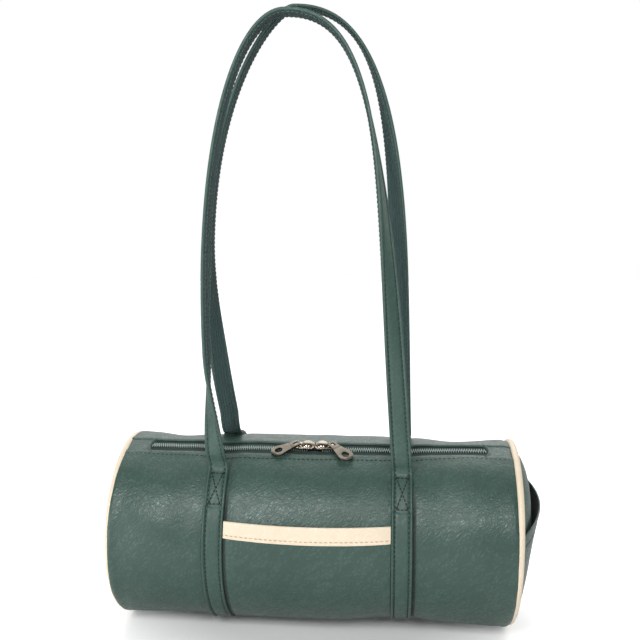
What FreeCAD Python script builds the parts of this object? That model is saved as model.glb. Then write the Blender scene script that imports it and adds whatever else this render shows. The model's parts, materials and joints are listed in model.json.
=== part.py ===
import FreeCAD, Part
import Sketcher
import math
import os

# Barrel bag: a soft cylinder with a top zip, two carried bands and two shoulder handles.
# X runs along the barrel, the front is -Y, +Z is up and Z = 0 is the floor under the bands.
# A turn is an angle round the barrel's axis, from straight up towards the front.

# Driving sizes, millimetres and degrees
SIZES = {
    "barrel_radius": 70,
    "half_length": 150,
    "panel_wall": 1.2,
    "foam_wall": 1.5,
    "lining_wall": 0.4,
    "layer_gap": 0.1,
    "piping_radius": 2.5,
    "piping_wall": 0.8,
    "piping_sink": 2,
    "end_dome": 15,
    "zip_turn": 16,
    "window_width": 16,
    "zip_tab_length": 16,
    "tape_wall": 0.6,
    "tape_width": 15,
    "tape_split": 2.4,
    "coil_width": 3,
    "coil_height": 2,
    "coil_split": 0.2,
    "lining_mouth": 18,
    "slider_length": 16.2,
    "slider_nose_width": 10.4,
    "slider_tail_width": 8.2,
    "slider_corner": 2.6,
    "slider_plate": 1.3,
    "slider_play": 0.3,
    "slider_meeting": 0.8,
    "neck_length": 3,
    "neck_width": 1.8,
    "neck_setback": 1.6,
    "crown_place": 12.2,
    "crown_radius": 3.2,
    "crown_leg": 0.6,
    "crown_wire": 0.65,
    "pull_length": 23,
    "pull_end_radius": 6,
    "pull_hole_radius": 3,
    "pull_neck_width": 6.6,
    "pull_thickness": 1.3,
    "pull_tab_setback": 0.16,
    "pull_eye_width": 2.6,
    "pull_eye_length": 3.8,
    "pull_lift": 1.9,
    "left_pull_yaw": 29,
    "right_pull_yaw": 46,
    "left_pull_droop": 9.5,
    "right_pull_droop": 9,
    "band_spacing": 136,
    "strap_width": 15,
    "band_seat": 0.15,
    "band_core_wall": 1.2,
    "band_face_wall": 1.9,
    "band_hem": 2,
    "sole_cut": 1.4,
    "exit_turn": 24,
    "pocket_top": 54.6,
    "pocket_bottom": 144,
    "pocket_side_gap": 0.3,
    "pocket_hem": 4,
    "pocket_wall": 1,
    "pocket_hollow": 1.05,
    "pocket_lining_wall": 0.3,
    "pocket_lining_short": 1,
    "binding_wall": 0.5,
    "binding_width": 10,
    "binding_tuck": 8,
    "end_pocket_mouth": 30,
    "end_pocket_foot_rise": 4.2,
    "end_pocket_gape": 9.5,
    "end_pocket_wall": 1.2,
    "end_pocket_seat": 0.15,
    "handle_face_wall": 1.6,
    "handle_web_wall": 1.2,
    "handle_seat": 0.15,
    "handle_side_gap": 1,
    "handle_meeting": -14,
    "handle_tail": 3,
    "front_crown_place": -22,
    "front_crown_height": 461,
    "front_twist_ease": 0.6,
    "front_left_twist": 0.1,
    "front_left_splay": 29,
    "front_left_rise": 199,
    "front_left_reach": 42,
    "front_right_twist": 0.55,
    "front_right_splay": -19,
    "front_right_rise": 235,
    "front_right_reach": 66,
    "back_crown_place": -19,
    "back_crown_height": 465,
    "back_twist_ease": 1,
    "back_left_twist": 0.26,
    "back_left_splay": 48,
    "back_left_rise": 223,
    "back_left_reach": 20,
    "back_right_twist": 0.8,
    "back_right_splay": -8,
    "back_right_rise": 192,
    "back_right_reach": 82,
}

# Sizes that follow from the driving ones
FOLLOWING = {
    "band_inner": "barrel_radius + band_seat",
    "band_core_outer": "barrel_radius + band_seat + band_core_wall",
    "band_face_inner": "barrel_radius + band_seat + band_core_wall + layer_gap",
    "band_outer": "barrel_radius + band_seat + band_core_wall + layer_gap + band_face_wall",
    "axis_height": "band_outer - sole_cut",
    "panel_half": "half_length - 2 * piping_radius",
    "zip_opening": "2 * (panel_half - zip_tab_length)",
    "piping_ring": "barrel_radius - piping_sink",
    "end_rim": "piping_ring - piping_radius - layer_gap",
    "end_edge": "half_length - piping_radius + panel_wall / 2",
    "end_ball": "(end_rim * end_rim + end_dome * end_dome) / (2 * end_dome)",
    "end_ball_place": "end_edge + end_dome - end_ball",
    "under_panel": "barrel_radius - panel_wall - layer_gap",
    "under_foam": "under_panel - foam_wall - layer_gap",
    "tape_inner": "under_panel - tape_wall",
    "coil_inner": "under_panel + layer_gap",
    "coil_outer": "coil_inner + coil_height",
    "slider_top": "coil_outer + slider_play + slider_plate",
    "slider_base": "tape_inner - 2 * slider_play - slider_plate",
    "turn_of_one": "180 / pi / barrel_radius",
    "window_turn": "window_width / 2 * turn_of_one",
    "tape_start": "tape_split / 2 * turn_of_one",
    "tape_turn": "tape_width * turn_of_one",
    "foam_mouth_turn": "tape_start + tape_turn + layer_gap * turn_of_one",
    "lining_mouth_turn": "lining_mouth / 2 * turn_of_one",
    "coil_start": "coil_split / 2 * turn_of_one",
    "coil_turn": "coil_width * turn_of_one",
    "parting_turn": "(neck_width / 2 + slider_play) * turn_of_one",
    "parting_length": "2 * (slider_meeting / 2 + neck_setback + neck_length + slider_play)",
    "front_exit": "zip_turn + exit_turn",
    "back_exit": "zip_turn - exit_turn",
    "band_hem_turn": "band_hem * turn_of_one",
    "pocket_inner": "barrel_radius + layer_gap",
    "pocket_hollow_outer": "pocket_inner + pocket_hollow",
    "pocket_outer": "pocket_hollow_outer + pocket_wall",
    "pocket_width": "band_spacing - strap_width - 2 * pocket_side_gap",
    "pocket_hollow_width": "pocket_width - 2 * pocket_hem",
    "binding_outer": "pocket_outer + layer_gap / 2 + binding_wall",
    "end_pocket_rim": "end_rim - end_pocket_wall",
    "end_pocket_foot": "end_pocket_rim - end_pocket_foot_rise",
    "handle_thickness": "handle_face_wall + handle_web_wall",
    "handle_radius": "band_outer + handle_seat + handle_thickness / 2",
}

# Curve steps of a handle on each side of its crown
HANDLE_STEPS = 20
# How the handles' sections crowd towards their feet
LEG_CROWDING = 1.5
# Levels of the end pocket's panel, from its foot to its mouth
POCKET_LEVELS = 7
# How the end pocket's gape grows towards its mouth
POCKET_FLARE = 2.2
# Length by which a cutting shape stands past what it cuts
OVERCUT = 1.0

doc = FreeCAD.newDocument("barrel_bag")
sizes = doc.addObject("Spreadsheet::Sheet", "Sizes")
nodes = {}


def fill_sheet():
    """Driving sizes first, then the sizes that follow from them."""
    for row, (alias, value) in enumerate(list(SIZES.items()) + list(FOLLOWING.items()), start=1):
        sizes.set(f"A{row}", alias)
        sizes.set(f"B{row}", f"={value}" if alias in FOLLOWING else str(value))
        sizes.setAlias(f"B{row}", alias)
    doc.recompute()


def size(alias):
    return float(sizes.get(alias))


def bind(thing, prop, formula):
    """Ties a property to the sheet; each {name} in the formula is a cell of it."""
    thing.setExpression(prop, formula.replace("{", "Sizes.").replace("}", ""))


def keep(label, thing):
    """Marks an object as a sub-part of the bag."""
    thing.Label = label
    nodes[label] = thing
    return thing


def primitive(kind, name, place, **formulas):
    solid = doc.addObject(kind, name)
    for prop, formula in formulas.items():
        bind(solid, prop, formula)
    bind(solid, "Placement", place)
    return solid


def boolean(kind, name, base, tool):
    result = doc.addObject(kind, name)
    result.Base = base
    result.Tool = tool
    return result


def along_barrel(start_x, turn="0"):
    """A placement with local Z along the barrel and local X at the turn."""
    return (
        f"placement(vector({start_x}; 0; {{axis_height}}); "
        f"rotation(vector(1; 0; 0); 180 + ({turn})) * rotation(vector(0; 1; 0); 90))"
    )


def rod(name, radius, middle, width):
    """A full cylinder on the barrel's axis."""
    place = along_barrel(f"{middle} - ({width}) / 2")
    return primitive("Part::Cylinder", name, place, Radius=radius, Height=width)


def wedge(name, radius, start, sweep, middle, width):
    place = along_barrel(f"{middle} - ({width}) / 2", start)
    return primitive("Part::Cylinder", name, place, Radius=radius, Height=width, Angle=sweep)


def strip(name, inner, outer, start, sweep, middle, width):
    """A curved strip round the barrel, from a start turn over a sweep."""
    full = wedge(name + "_full", outer, start, sweep, middle, width)
    core = rod(name + "_core", inner, middle, f"{width} + 2 * {OVERCUT}")
    return boolean("Part::Cut", name, full, core)


def body_layers():
    """The outer panel, its foam and its lining, each open along the zip."""
    layers = (
        ("body_panel", "{barrel_radius} - {panel_wall}", "{barrel_radius}", "{window_turn}"),
        ("body_interlining", "{under_panel} - {foam_wall}", "{under_panel}", "{foam_mouth_turn}"),
        ("body_lining", "{under_foam} - {lining_wall}", "{under_foam}", "{lining_mouth_turn}"),
    )
    for label, inner, outer, mouth in layers:
        start = f"{{zip_turn}} + {mouth}"
        keep(label, strip(label, inner, outer, start, f"360 - 2 * {mouth}", "0", "2 * {panel_half}"))


def end_shell(label, side, depth, wall):
    """One layer of a domed end: a ball's shell inside the piping ring."""
    turn = 180 if side > 0 else 0
    centre = (
        f"placement(vector({side} * {{end_ball_place}}; 0; {{axis_height}}); "
        f"rotation(vector(0; 0; 1); {turn}))"
    )
    radius = f"{{end_ball}} - ({depth})"
    outside = primitive("Part::Sphere", label + "_outside", centre, Radius=radius)
    inside = primitive("Part::Sphere", label + "_inside", centre, Radius=f"{radius} - {wall}")
    shell = boolean("Part::Cut", label + "_shell", outside, inside)
    middle = f"{side} * ({{half_length}} + {{end_dome}} / 2)"
    limit = rod(label + "_limit", "{end_rim}", middle, "3 * {end_dome}")
    keep(label, boolean("Part::Common", label, shell, limit))


def end_layers():
    foam_depth = "{panel_wall} + {layer_gap}"
    lining_depth = "{panel_wall} + {foam_wall} + 2 * {layer_gap}"
    for side_name, side in (("left", -1), ("right", 1)):
        end_shell(f"{side_name}_end_panel", side, "0", "{panel_wall}")
        end_shell(f"{side_name}_end_interlining", side, foam_depth, "{foam_wall}")
        end_shell(f"{side_name}_end_lining", side, lining_depth, "{lining_wall}")


def piping():
    """A leather tube round a cord, on the seam of each end."""
    for side_name, side in (("left", -1), ("right", 1)):
        place = along_barrel(f"{side} * ({{half_length}} - {{piping_radius}})")
        label = f"{side_name}_piping"
        rings = {}
        for ring, radius in (
            ("tube", "{piping_radius}"),
            ("bore", "{piping_radius} - {piping_wall}"),
            ("cord", "{piping_radius} - {piping_wall} - {layer_gap} / 2"),
        ):
            name = f"{label}_{ring}"
            rings[ring] = primitive("Part::Torus", name, place, Radius1="{piping_ring}", Radius2=radius)
        keep(label, boolean("Part::Cut", label, rings["tube"], rings["bore"]))
        keep(f"{label}_cord", rings["cord"])


def zip_halves():
    """Tape and coil each side of the zip's line, parted where the two sliders meet."""
    for side_name, sign in (("front", 1), ("back", -1)):
        starts = {}
        for piece in ("tape", "coil"):
            near = f"{{{piece}_start}}"
            far = f"{{{piece}_turn}}"
            starts[piece] = f"{{zip_turn}} + {near}" if sign > 0 else f"{{zip_turn}} - {near} - {far}"
        label = f"zip_tape_{side_name}"
        length = "2 * ({panel_half} - {layer_gap})"
        tape = strip(label, "{tape_inner}", "{under_panel}", starts["tape"], "{tape_turn}", "0", length)
        keep(label, tape)
        label = f"zip_coil_{side_name}"
        length = "{zip_opening} - 2 * {layer_gap}"
        bar_name = f"{label}_bar"
        bar = strip(bar_name, "{coil_inner}", "{coil_outer}", starts["coil"], "{coil_turn}", "0", length)
        parting = wedge(
            f"{label}_parting",
            f"{{coil_outer}} + {OVERCUT}",
            "{zip_turn} - {parting_turn}",
            "2 * {parting_turn}",
            "0",
            "{parting_length}",
        )
        keep(label, boolean("Part::Cut", label, bar, parting))


def zip_end_tabs():
    """Leather tabs that close the zip's window before the piping."""
    length = "{zip_tab_length}"
    clear = "{layer_gap} * {turn_of_one}"
    for side_name, side in (("left", -1), ("right", 1)):
        label = f"zip_end_tab_{side_name}"
        start = f"{{zip_turn}} - {{window_turn}} + {clear}"
        sweep = f"2 * {{window_turn}} - 2 * {clear}"
        middle = f"{side} * ({{zip_opening}} / 2 + {length} / 2)"
        keep(label, strip(label, "{coil_inner}", "{barrel_radius}", start, sweep, middle, length))


def bands():
    """The carrying bands under the barrel, flat where they stand on the floor."""
    start = "{front_exit} - {band_hem_turn}"
    sweep = "360 - 2 * {exit_turn} + 2 * {band_hem_turn}"
    width = "{strap_width}"
    for side_name, side in (("left", -1), ("right", 1)):
        middle = f"{side} * {{band_spacing}} / 2"
        label = f"{side_name}_band_core"
        keep(label, strip(label, "{band_inner}", "{band_core_outer}", start, sweep, middle, width))
        label = f"{side_name}_band_face"
        round_name = f"{label}_round"
        round_face = strip(round_name, "{band_face_inner}", "{band_outer}", start, sweep, middle, width)
        floor_place = (
            f"placement(vector({middle} - {width}; -{{barrel_radius}}; -{{barrel_radius}}); "
            "rotation(vector(0; 0; 1); 0))"
        )
        floor = primitive(
            "Part::Box",
            f"{label}_floor",
            floor_place,
            Length=f"2 * {width}",
            Width="2 * {barrel_radius}",
            Height="{barrel_radius}",
        )
        keep(label, boolean("Part::Cut", label, round_face, floor))


def front_pocket():
    """A flat slip pocket between the bands, with a bound top edge."""
    top = "{zip_turn} + {pocket_top}"
    sweep = "{pocket_bottom} - {pocket_top}"
    hem = "{pocket_hem} * {turn_of_one}"
    width = "{pocket_width}"
    hollow_width = "{pocket_hollow_width}"
    hollow_outer = "{pocket_hollow_outer}"
    whole = strip("front_pocket_whole", "{pocket_inner}", "{pocket_outer}", top, sweep, "0", width)
    hollow = wedge("front_pocket_hollow", hollow_outer, f"{top} - {hem}", sweep, "0", hollow_width)
    keep("front_pocket_panel", boolean("Part::Cut", "front_pocket_panel", whole, hollow))
    lining_outer = f"{hollow_outer} - {{layer_gap}}"
    lining = strip(
        "front_pocket_lining",
        f"{lining_outer} - {{pocket_lining_wall}}",
        lining_outer,
        top,
        f"{sweep} - {hem} - {{pocket_lining_short}} * {{turn_of_one}}",
        "0",
        f"{hollow_width} - 2 * {{layer_gap}}",
    )
    keep("front_pocket_lining", lining)
    cap = "{binding_wall} * {turn_of_one}"
    clear = "{layer_gap} / 2 * {turn_of_one}"
    inner = "{pocket_inner} + {layer_gap} / 2"
    start = f"{top} - {cap} - {clear}"
    outer_leg = strip(
        "binding_outer_leg",
        "{binding_outer} - {binding_wall}",
        "{binding_outer}",
        start,
        f"{cap} + {clear} + {{binding_width}} * {{turn_of_one}}",
        "0",
        width,
    )
    edge = strip("binding_edge", inner, "{binding_outer}", start, cap, "0", width)
    inner_leg = strip(
        "binding_inner_leg",
        inner,
        f"{lining_outer} - {{pocket_lining_wall}} - {{layer_gap}} / 2",
        start,
        f"{cap} + {clear} + {{binding_tuck}} * {{turn_of_one}}",
        "0",
        f"{hollow_width} - 2 * {{layer_gap}}",
    )
    folded = boolean("Part::Fuse", "binding_folded", outer_leg, edge)
    keep("front_pocket_binding", boolean("Part::Fuse", "front_pocket_binding", folded, inner_leg))


def end_pocket_layer(label, offset, wall):
    """A bulging sheet on the right end: arcs from rim to rim, further out towards the mouth."""
    rim = size("end_pocket_rim")
    ball = size("end_ball")
    mouth = size("end_pocket_mouth")
    foot = -size("end_pocket_foot")
    sections = []
    for level in range(POCKET_LEVELS):
        share = level / (POCKET_LEVELS - 1)
        height = foot + (mouth - foot) * share
        half = math.sqrt(rim * rim - height * height)
        ball_edge = math.sqrt(ball * ball - rim * rim)
        ball_middle = math.sqrt(ball * ball - height * height)
        edge = size("end_ball_place") + ball_edge + offset
        gape = size("end_pocket_gape") * share**POCKET_FLARE
        middle = size("end_ball_place") + ball_middle + offset + gape
        inner = Part.Arc(
            FreeCAD.Vector(edge, -half, height),
            FreeCAD.Vector(middle, 0, height),
            FreeCAD.Vector(edge, half, height),
        ).toShape()
        outer = inner.translated(FreeCAD.Vector(wall, 0, 0))
        front_end = Part.LineSegment(outer.Vertexes[0].Point, inner.Vertexes[0].Point).toShape()
        back_end = Part.LineSegment(inner.Vertexes[-1].Point, outer.Vertexes[-1].Point).toShape()
        sections.append(Part.Wire([front_end, inner, back_end, outer]))
    sheet = doc.addObject("Part::Feature", label)
    sheet.Shape = Part.makeLoft(sections, True, False)
    bind(sheet, "Placement", "placement(vector(0; 0; {axis_height}); rotation(vector(1; 0; 0); {zip_turn}))")
    keep(label, sheet)


def end_pocket():
    seat = size("end_pocket_seat")
    lining = size("lining_wall")
    end_pocket_layer("end_pocket_lining", seat, lining)
    end_pocket_layer("end_pocket_panel", seat + lining + size("layer_gap"), size("end_pocket_wall"))


def slider_frame(side):
    """A placement on the zip's line: local X away from the middle, local Z outwards."""
    turn = 180 if side < 0 else 0
    return (
        "placement(vector(0; 0; {axis_height}); "
        f"rotation(vector(1; 0; 0); {{zip_turn}}) * rotation(vector(0; 0; 1); {turn}))"
    )


def new_body(label, place):
    body = doc.addObject("PartDesign::Body", label)
    bind(body, "Placement", place)
    return body


def origin_plane(body, role):
    return next(plane for plane in body.Origin.OriginFeatures if plane.Role == role)


def new_sketch(body, name, role, level):
    sketch = body.newObject("Sketcher::SketchObject", name)
    sketch.AttachmentSupport = (origin_plane(body, role), [""])
    sketch.MapMode = "FlatFace"
    bind(sketch, "AttachmentOffset.Base.z", level)
    return sketch


def number(formula):
    return float(sizes.evalExpression(formula.replace("{", "").replace("}", "")))


def tie_point(sketch, geometry, vertex, x_formula, y_formula):
    """Holds a sketch point at two distances from the sketch's origin."""
    for kind, formula in (("DistanceX", x_formula), ("DistanceY", y_formula)):
        value = number(formula)
        if value >= 0:
            rule = Sketcher.Constraint(kind, -1, 1, geometry, vertex, value)
        else:
            rule = Sketcher.Constraint(kind, geometry, vertex, -1, 1, -value)
            formula = f"-({formula})"
        bind(sketch, f"Constraints[{sketch.addConstraint(rule)}]", formula)


def outline(sketch, corners):
    """A closed polygon whose corners are pairs of formulas."""
    points = [FreeCAD.Vector(number(x), number(y), 0) for x, y in corners]
    count = len(points)
    for index in range(count):
        sketch.addGeometry(Part.LineSegment(points[index], points[(index + 1) % count]))
    for index in range(count):
        sketch.addConstraint(Sketcher.Constraint("Coincident", index, 2, (index + 1) % count, 1))
        tie_point(sketch, index, 1, *corners[index])


def mirrored(corners):
    """Corners on the +Y side, followed by their mirror images, as one closed outline."""
    return corners + [(x, f"-({y})") for x, y in reversed(corners)]


def disc(sketch, centre_x, radius):
    """A circle with its centre on the sketch's X axis."""
    place = FreeCAD.Vector(number(centre_x), 0, 0)
    sketch.addGeometry(Part.Circle(place, FreeCAD.Vector(0, 0, 1), number(radius)))
    sketch.addConstraint(Sketcher.Constraint("PointOnObject", 0, 3, -1))
    across = sketch.addConstraint(Sketcher.Constraint("DistanceX", -1, 1, 0, 3, number(centre_x)))
    bind(sketch, f"Constraints[{across}]", centre_x)
    round_rule = sketch.addConstraint(Sketcher.Constraint("Radius", 0, number(radius)))
    bind(sketch, f"Constraints[{round_rule}]", radius)


def feature(body, kind, name, sketch, length):
    """A pad or a pocket of a sketch over a length."""
    made = body.newObject(kind, name)
    made.Profile = sketch
    bind(made, "Length", length)
    sketch.Visibility = False
    body.Tip = made
    doc.recompute()
    return made


def is_upright(edge):
    along = edge.tangentAt(edge.FirstParameter)
    return abs(along.z) > abs(along.x) + abs(along.y)


def slider_body(label, side):
    """Two plates held apart by a neck; the wide nose faces the bag's middle."""
    body = new_body(label, slider_frame(side))
    nose = "{slider_meeting} / 2"
    tail = f"{nose} + {{slider_length}}"
    plate = mirrored([(nose, "{slider_nose_width} / 2"), (tail, "{slider_tail_width} / 2")])
    neck_start = f"{nose} + {{neck_setback}}"
    neck_end = f"{neck_start} + {{neck_length}}"
    neck = mirrored([(neck_start, "{neck_width} / 2"), (neck_end, "{neck_width} / 2")])
    neck_foot = "{slider_base} + {slider_plate}"
    neck_top = "{slider_top} - {slider_plate}"
    for name, corners, level, length in (
        ("base", plate, "{slider_base}", "{slider_plate}"),
        ("neck", neck, neck_foot, f"{neck_top} - ({neck_foot})"),
        ("top", plate, neck_top, "{slider_plate}"),
    ):
        sketch = new_sketch(body, f"{label}_{name}_outline", "XY_Plane", level)
        outline(sketch, corners)
        pad = feature(body, "PartDesign::Pad", f"{label}_{name}", sketch, length)
    corners = [
        f"Edge{index}"
        for index, edge in enumerate(pad.Shape.Edges, start=1)
        if is_upright(edge) and abs(edge.CenterOfMass.y) > size("neck_width")
    ]
    rounding = body.newObject("PartDesign::Fillet", f"{label}_rounding")
    rounding.Base = (pad, corners)
    bind(rounding, "Radius", "{slider_corner}")
    body.Tip = rounding
    keep(label, body)


def crown_frame(side, yaw):
    """A placement on a slider's top plate, turned with its pull."""
    turn = yaw if side < 0 else f"-({yaw})"
    return (
        f"{slider_frame(side)} * placement(vector({{crown_place}}; 0; {{slider_top}}); "
        f"rotation(vector(0; 0; 1); {turn}))"
    )


def slider_crown(label, side, yaw):
    """A wire arch over the pull's bar."""
    frame = crown_frame(side, yaw)
    bow_place = f"{frame} * placement(vector(0; 0; {{crown_leg}}); rotation(vector(1; 0; 0); 90))"
    wire = "{crown_wire}"
    crown = primitive(
        "Part::Torus", f"{label}_bow", bow_place, Radius1="{crown_radius}", Radius2=wire, Angle3="180"
    )
    for end in (-1, 1):
        leg_foot = f"vector({end} * {{crown_radius}}; 0; 0)"
        leg_place = f"{frame} * placement({leg_foot}; rotation(vector(0; 0; 1); 0))"
        leg = primitive("Part::Cylinder", f"{label}_leg", leg_place, Radius=wire, Height="{crown_leg}")
        crown = boolean("Part::Fuse", f"{label}_joined", crown, leg)
    keep(label, crown)


def pull(label, side, yaw, droop):
    """A flat tab with a round hole, hung on the crown by a bar at its eye."""
    hang = f"placement(vector(0; 0; {{pull_lift}}); rotation(vector(0; 1; 0); {droop}))"
    place = f"{crown_frame(side, yaw)} * {hang}"
    body = new_body(label, place)
    half = "{pull_thickness} / 2"
    hole_place = "{pull_length} - {pull_end_radius}"
    flare = f"2 * {half} + {{pull_eye_length}}"
    tab = mirrored(
        [
            ("{pull_tab_setback}", "{pull_neck_width} / 2"),
            (flare, "{pull_neck_width} / 2"),
            (hole_place, "{pull_end_radius}"),
        ]
    )
    eye_end = f"{half} + {{pull_eye_length}}"
    eye = mirrored([(half, "{pull_eye_width} / 2"), (eye_end, "{pull_eye_width} / 2")])
    tab_sketch = new_sketch(body, f"{label}_tab_outline", "XY_Plane", f"-({half})")
    outline(tab_sketch, tab)
    feature(body, "PartDesign::Pad", f"{label}_tab", tab_sketch, "{pull_thickness}")
    end_sketch = new_sketch(body, f"{label}_end_outline", "XY_Plane", f"-({half})")
    disc(end_sketch, hole_place, "{pull_end_radius}")
    feature(body, "PartDesign::Pad", f"{label}_end", end_sketch, "{pull_thickness}")
    bar_sketch = new_sketch(body, f"{label}_bar_outline", "XZ_Plane", "-{pull_neck_width} / 2")
    bar_sketch.addGeometry(Part.Circle(FreeCAD.Vector(0, 0, 0), FreeCAD.Vector(0, 0, 1), number(half)))
    bar_sketch.addConstraint(Sketcher.Constraint("Coincident", 0, 3, -1, 1))
    round_rule = bar_sketch.addConstraint(Sketcher.Constraint("Radius", 0, number(half)))
    bind(bar_sketch, f"Constraints[{round_rule}]", half)
    feature(body, "PartDesign::Pad", f"{label}_bar", bar_sketch, "{pull_neck_width}")
    hole_sketch = new_sketch(body, f"{label}_hole_outline", "XY_Plane", half)
    disc(hole_sketch, hole_place, "{pull_hole_radius}")
    feature(body, "PartDesign::Pocket", f"{label}_hole", hole_sketch, "{pull_thickness}")
    eye_sketch = new_sketch(body, f"{label}_eye_outline", "XY_Plane", half)
    outline(eye_sketch, eye)
    feature(body, "PartDesign::Pocket", f"{label}_eye", eye_sketch, "{pull_thickness}")
    keep(label, body)


def sliders():
    for side_name, side in (("left", -1), ("right", 1)):
        yaw = f"{{{side_name}_pull_yaw}}"
        slider_body(f"{side_name}_slider_body", side)
        slider_crown(f"{side_name}_slider_crown", side, yaw)
        pull(f"{side_name}_pull", side, yaw, f"{{{side_name}_pull_droop}}")


def curve_point(corners, share):
    """A point of the cubic curve with four control corners."""
    rest = 1 - share
    weights = (rest**3, 3 * rest**2 * share, 3 * rest * share**2, share**3)
    return sum((corner * weight for corner, weight in zip(corners, weights)), FreeCAD.Vector())


def handle_route(name, foot, crown):
    """(point, twist) up the left leg, over the crown and down the right one, in its leaning plane."""
    lean = (crown.y - foot.y) / (crown.z - foot.z)

    def place(x, rise):
        return FreeCAD.Vector(x, foot.y + lean * rise, foot.z + rise)

    top = crown.z - foot.z

    def leg(side_name, side):
        """From a foot to the crown, with points closest together where the leg twists."""
        foot_x = side * size("band_spacing") / 2
        corners = [
            place(foot_x, 0),
            place(foot_x + side * size(f"{name}_{side_name}_splay"), size(f"{name}_{side_name}_rise")),
            place(crown.x + side * size(f"{name}_{side_name}_reach"), top),
            place(crown.x, top),
        ]
        stations = [(corners[0], 0.0), (place(foot_x, size("handle_tail")), 0.0)]
        for step in range(1, HANDLE_STEPS + 1):
            share = (step / HANDLE_STEPS) ** LEG_CROWDING
            reached = min(1.0, share / size(f"{name}_{side_name}_twist"))
            twist = (reached * reached * (3 - 2 * reached)) ** size(f"{name}_twist_ease")
            stations.append((curve_point(corners, share), twist))
        return stations

    return leg("left", -1) + leg("right", 1)[-2::-1]


def handle_sections(route, outward, low, high):
    """Cross-sections of one layer: flat on the bag at its feet, on edge to the loop over its crown."""
    last = len(route) - 1
    points = [point for point, twist in route]
    across = FreeCAD.Vector(1, 0, 0)
    plane = across.cross(points[last // 2] - points[0]).normalize()
    half = size("strap_width") / 2
    sections = []
    for index, (point, twist) in enumerate(route):
        along = (points[min(index + 1, last)] - points[max(index - 1, 0)]).normalize()
        angle = math.pi / 2 * twist
        face = plane * (outward * math.cos(angle)) + plane.cross(along) * math.sin(angle)
        side = along.cross(face).normalize()
        if twist == 0:
            side = across * math.copysign(1, side.x)
        corners = [
            point + side * half + face * low,
            point + side * half + face * high,
            point - side * half + face * high,
            point - side * half + face * low,
        ]
        sections.append(Part.makePolygon(corners + corners[:1]))
    return sections


def handle(name, exit_turn, outward):
    """A leather face with a webbing backing, folded at both feet about one line."""
    radius = size("handle_radius")
    turn = math.radians(size(exit_turn))
    foot = FreeCAD.Vector(0, -radius * math.sin(turn), size("axis_height") + radius * math.cos(turn))
    crown = FreeCAD.Vector(
        size(f"{name}_crown_place"),
        size("handle_meeting") - outward * (size("strap_width") + size("handle_side_gap")) / 2,
        size(f"{name}_crown_height"),
    )
    route = handle_route(name, foot, crown)
    outside = size("handle_thickness") / 2
    parting = outside - size("handle_face_wall")
    leather = Part.makeLoft(handle_sections(route, outward, parting, outside), True, True)
    webbing = Part.makeLoft(handle_sections(route, outward, -outside, parting), True, True)
    width = size("strap_width") - 2 * size("layer_gap")
    for end, twist in (route[0], route[-1]):
        fold_start = end - FreeCAD.Vector(width / 2, 0, 0)
        fold = Part.makeCylinder(outside, width, fold_start, FreeCAD.Vector(1, 0, 0))
        leather = leather.fuse(fold)
        webbing = webbing.cut(fold)
    for layer, shape in (("face", leather), ("webbing", webbing)):
        label = f"{name}_handle_{layer}"
        strap = doc.addObject("Part::Feature", label)
        strap.Shape = shape
        keep(label, strap)


def handles():
    handle("front", "front_exit", 1)
    handle("back", "back_exit", -1)


def check_and_write():
    doc.recompute()
    for thing in doc.Objects:
        if "Invalid" in thing.State or "Error" in thing.State:
            raise RuntimeError(f"{thing.Name} failed: {thing.State}")
    for label, thing in nodes.items():
        shape = thing.Shape
        if shape.isNull() or not shape.isValid() or not shape.Solids:
            raise RuntimeError(f"{label} is not a valid solid")
    os.makedirs("parts", exist_ok=True)
    for label, thing in nodes.items():
        thing.Shape.exportStep(f"parts/{label}.step")
        print(f"{label}: {len(thing.Shape.Solids)} solid, {thing.Shape.Volume:.1f} mm3")


fill_sheet()
body_layers()
end_layers()
piping()
zip_halves()
zip_end_tabs()
bands()
front_pocket()
end_pocket()
sliders()
handles()
check_and_write()
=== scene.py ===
import json
import math
from collections import namedtuple
from contextlib import contextmanager

import bpy
from mathutils import Matrix, Vector, noise


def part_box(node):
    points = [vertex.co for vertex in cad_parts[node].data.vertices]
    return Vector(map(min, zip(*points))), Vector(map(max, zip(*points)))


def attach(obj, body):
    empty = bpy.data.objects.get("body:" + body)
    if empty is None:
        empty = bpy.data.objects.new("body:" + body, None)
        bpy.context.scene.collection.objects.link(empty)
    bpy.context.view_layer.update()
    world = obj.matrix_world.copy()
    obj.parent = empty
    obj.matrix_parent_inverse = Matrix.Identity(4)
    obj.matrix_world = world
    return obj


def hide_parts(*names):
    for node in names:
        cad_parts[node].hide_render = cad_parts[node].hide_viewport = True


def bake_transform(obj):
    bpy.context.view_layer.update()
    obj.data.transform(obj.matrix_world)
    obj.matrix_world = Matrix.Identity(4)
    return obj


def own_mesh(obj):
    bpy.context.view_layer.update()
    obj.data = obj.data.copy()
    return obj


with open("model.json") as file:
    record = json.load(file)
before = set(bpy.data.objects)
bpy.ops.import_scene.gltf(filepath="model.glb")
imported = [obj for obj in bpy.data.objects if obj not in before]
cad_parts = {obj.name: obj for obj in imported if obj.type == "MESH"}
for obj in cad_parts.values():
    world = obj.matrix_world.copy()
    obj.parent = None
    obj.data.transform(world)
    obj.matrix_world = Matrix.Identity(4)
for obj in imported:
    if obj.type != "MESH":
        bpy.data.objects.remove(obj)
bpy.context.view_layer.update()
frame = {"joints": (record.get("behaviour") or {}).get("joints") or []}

# Barrel bag. Lengths are metres. A turn is an angle in degrees round the barrel's axis,
# from straight up towards the front.

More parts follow.
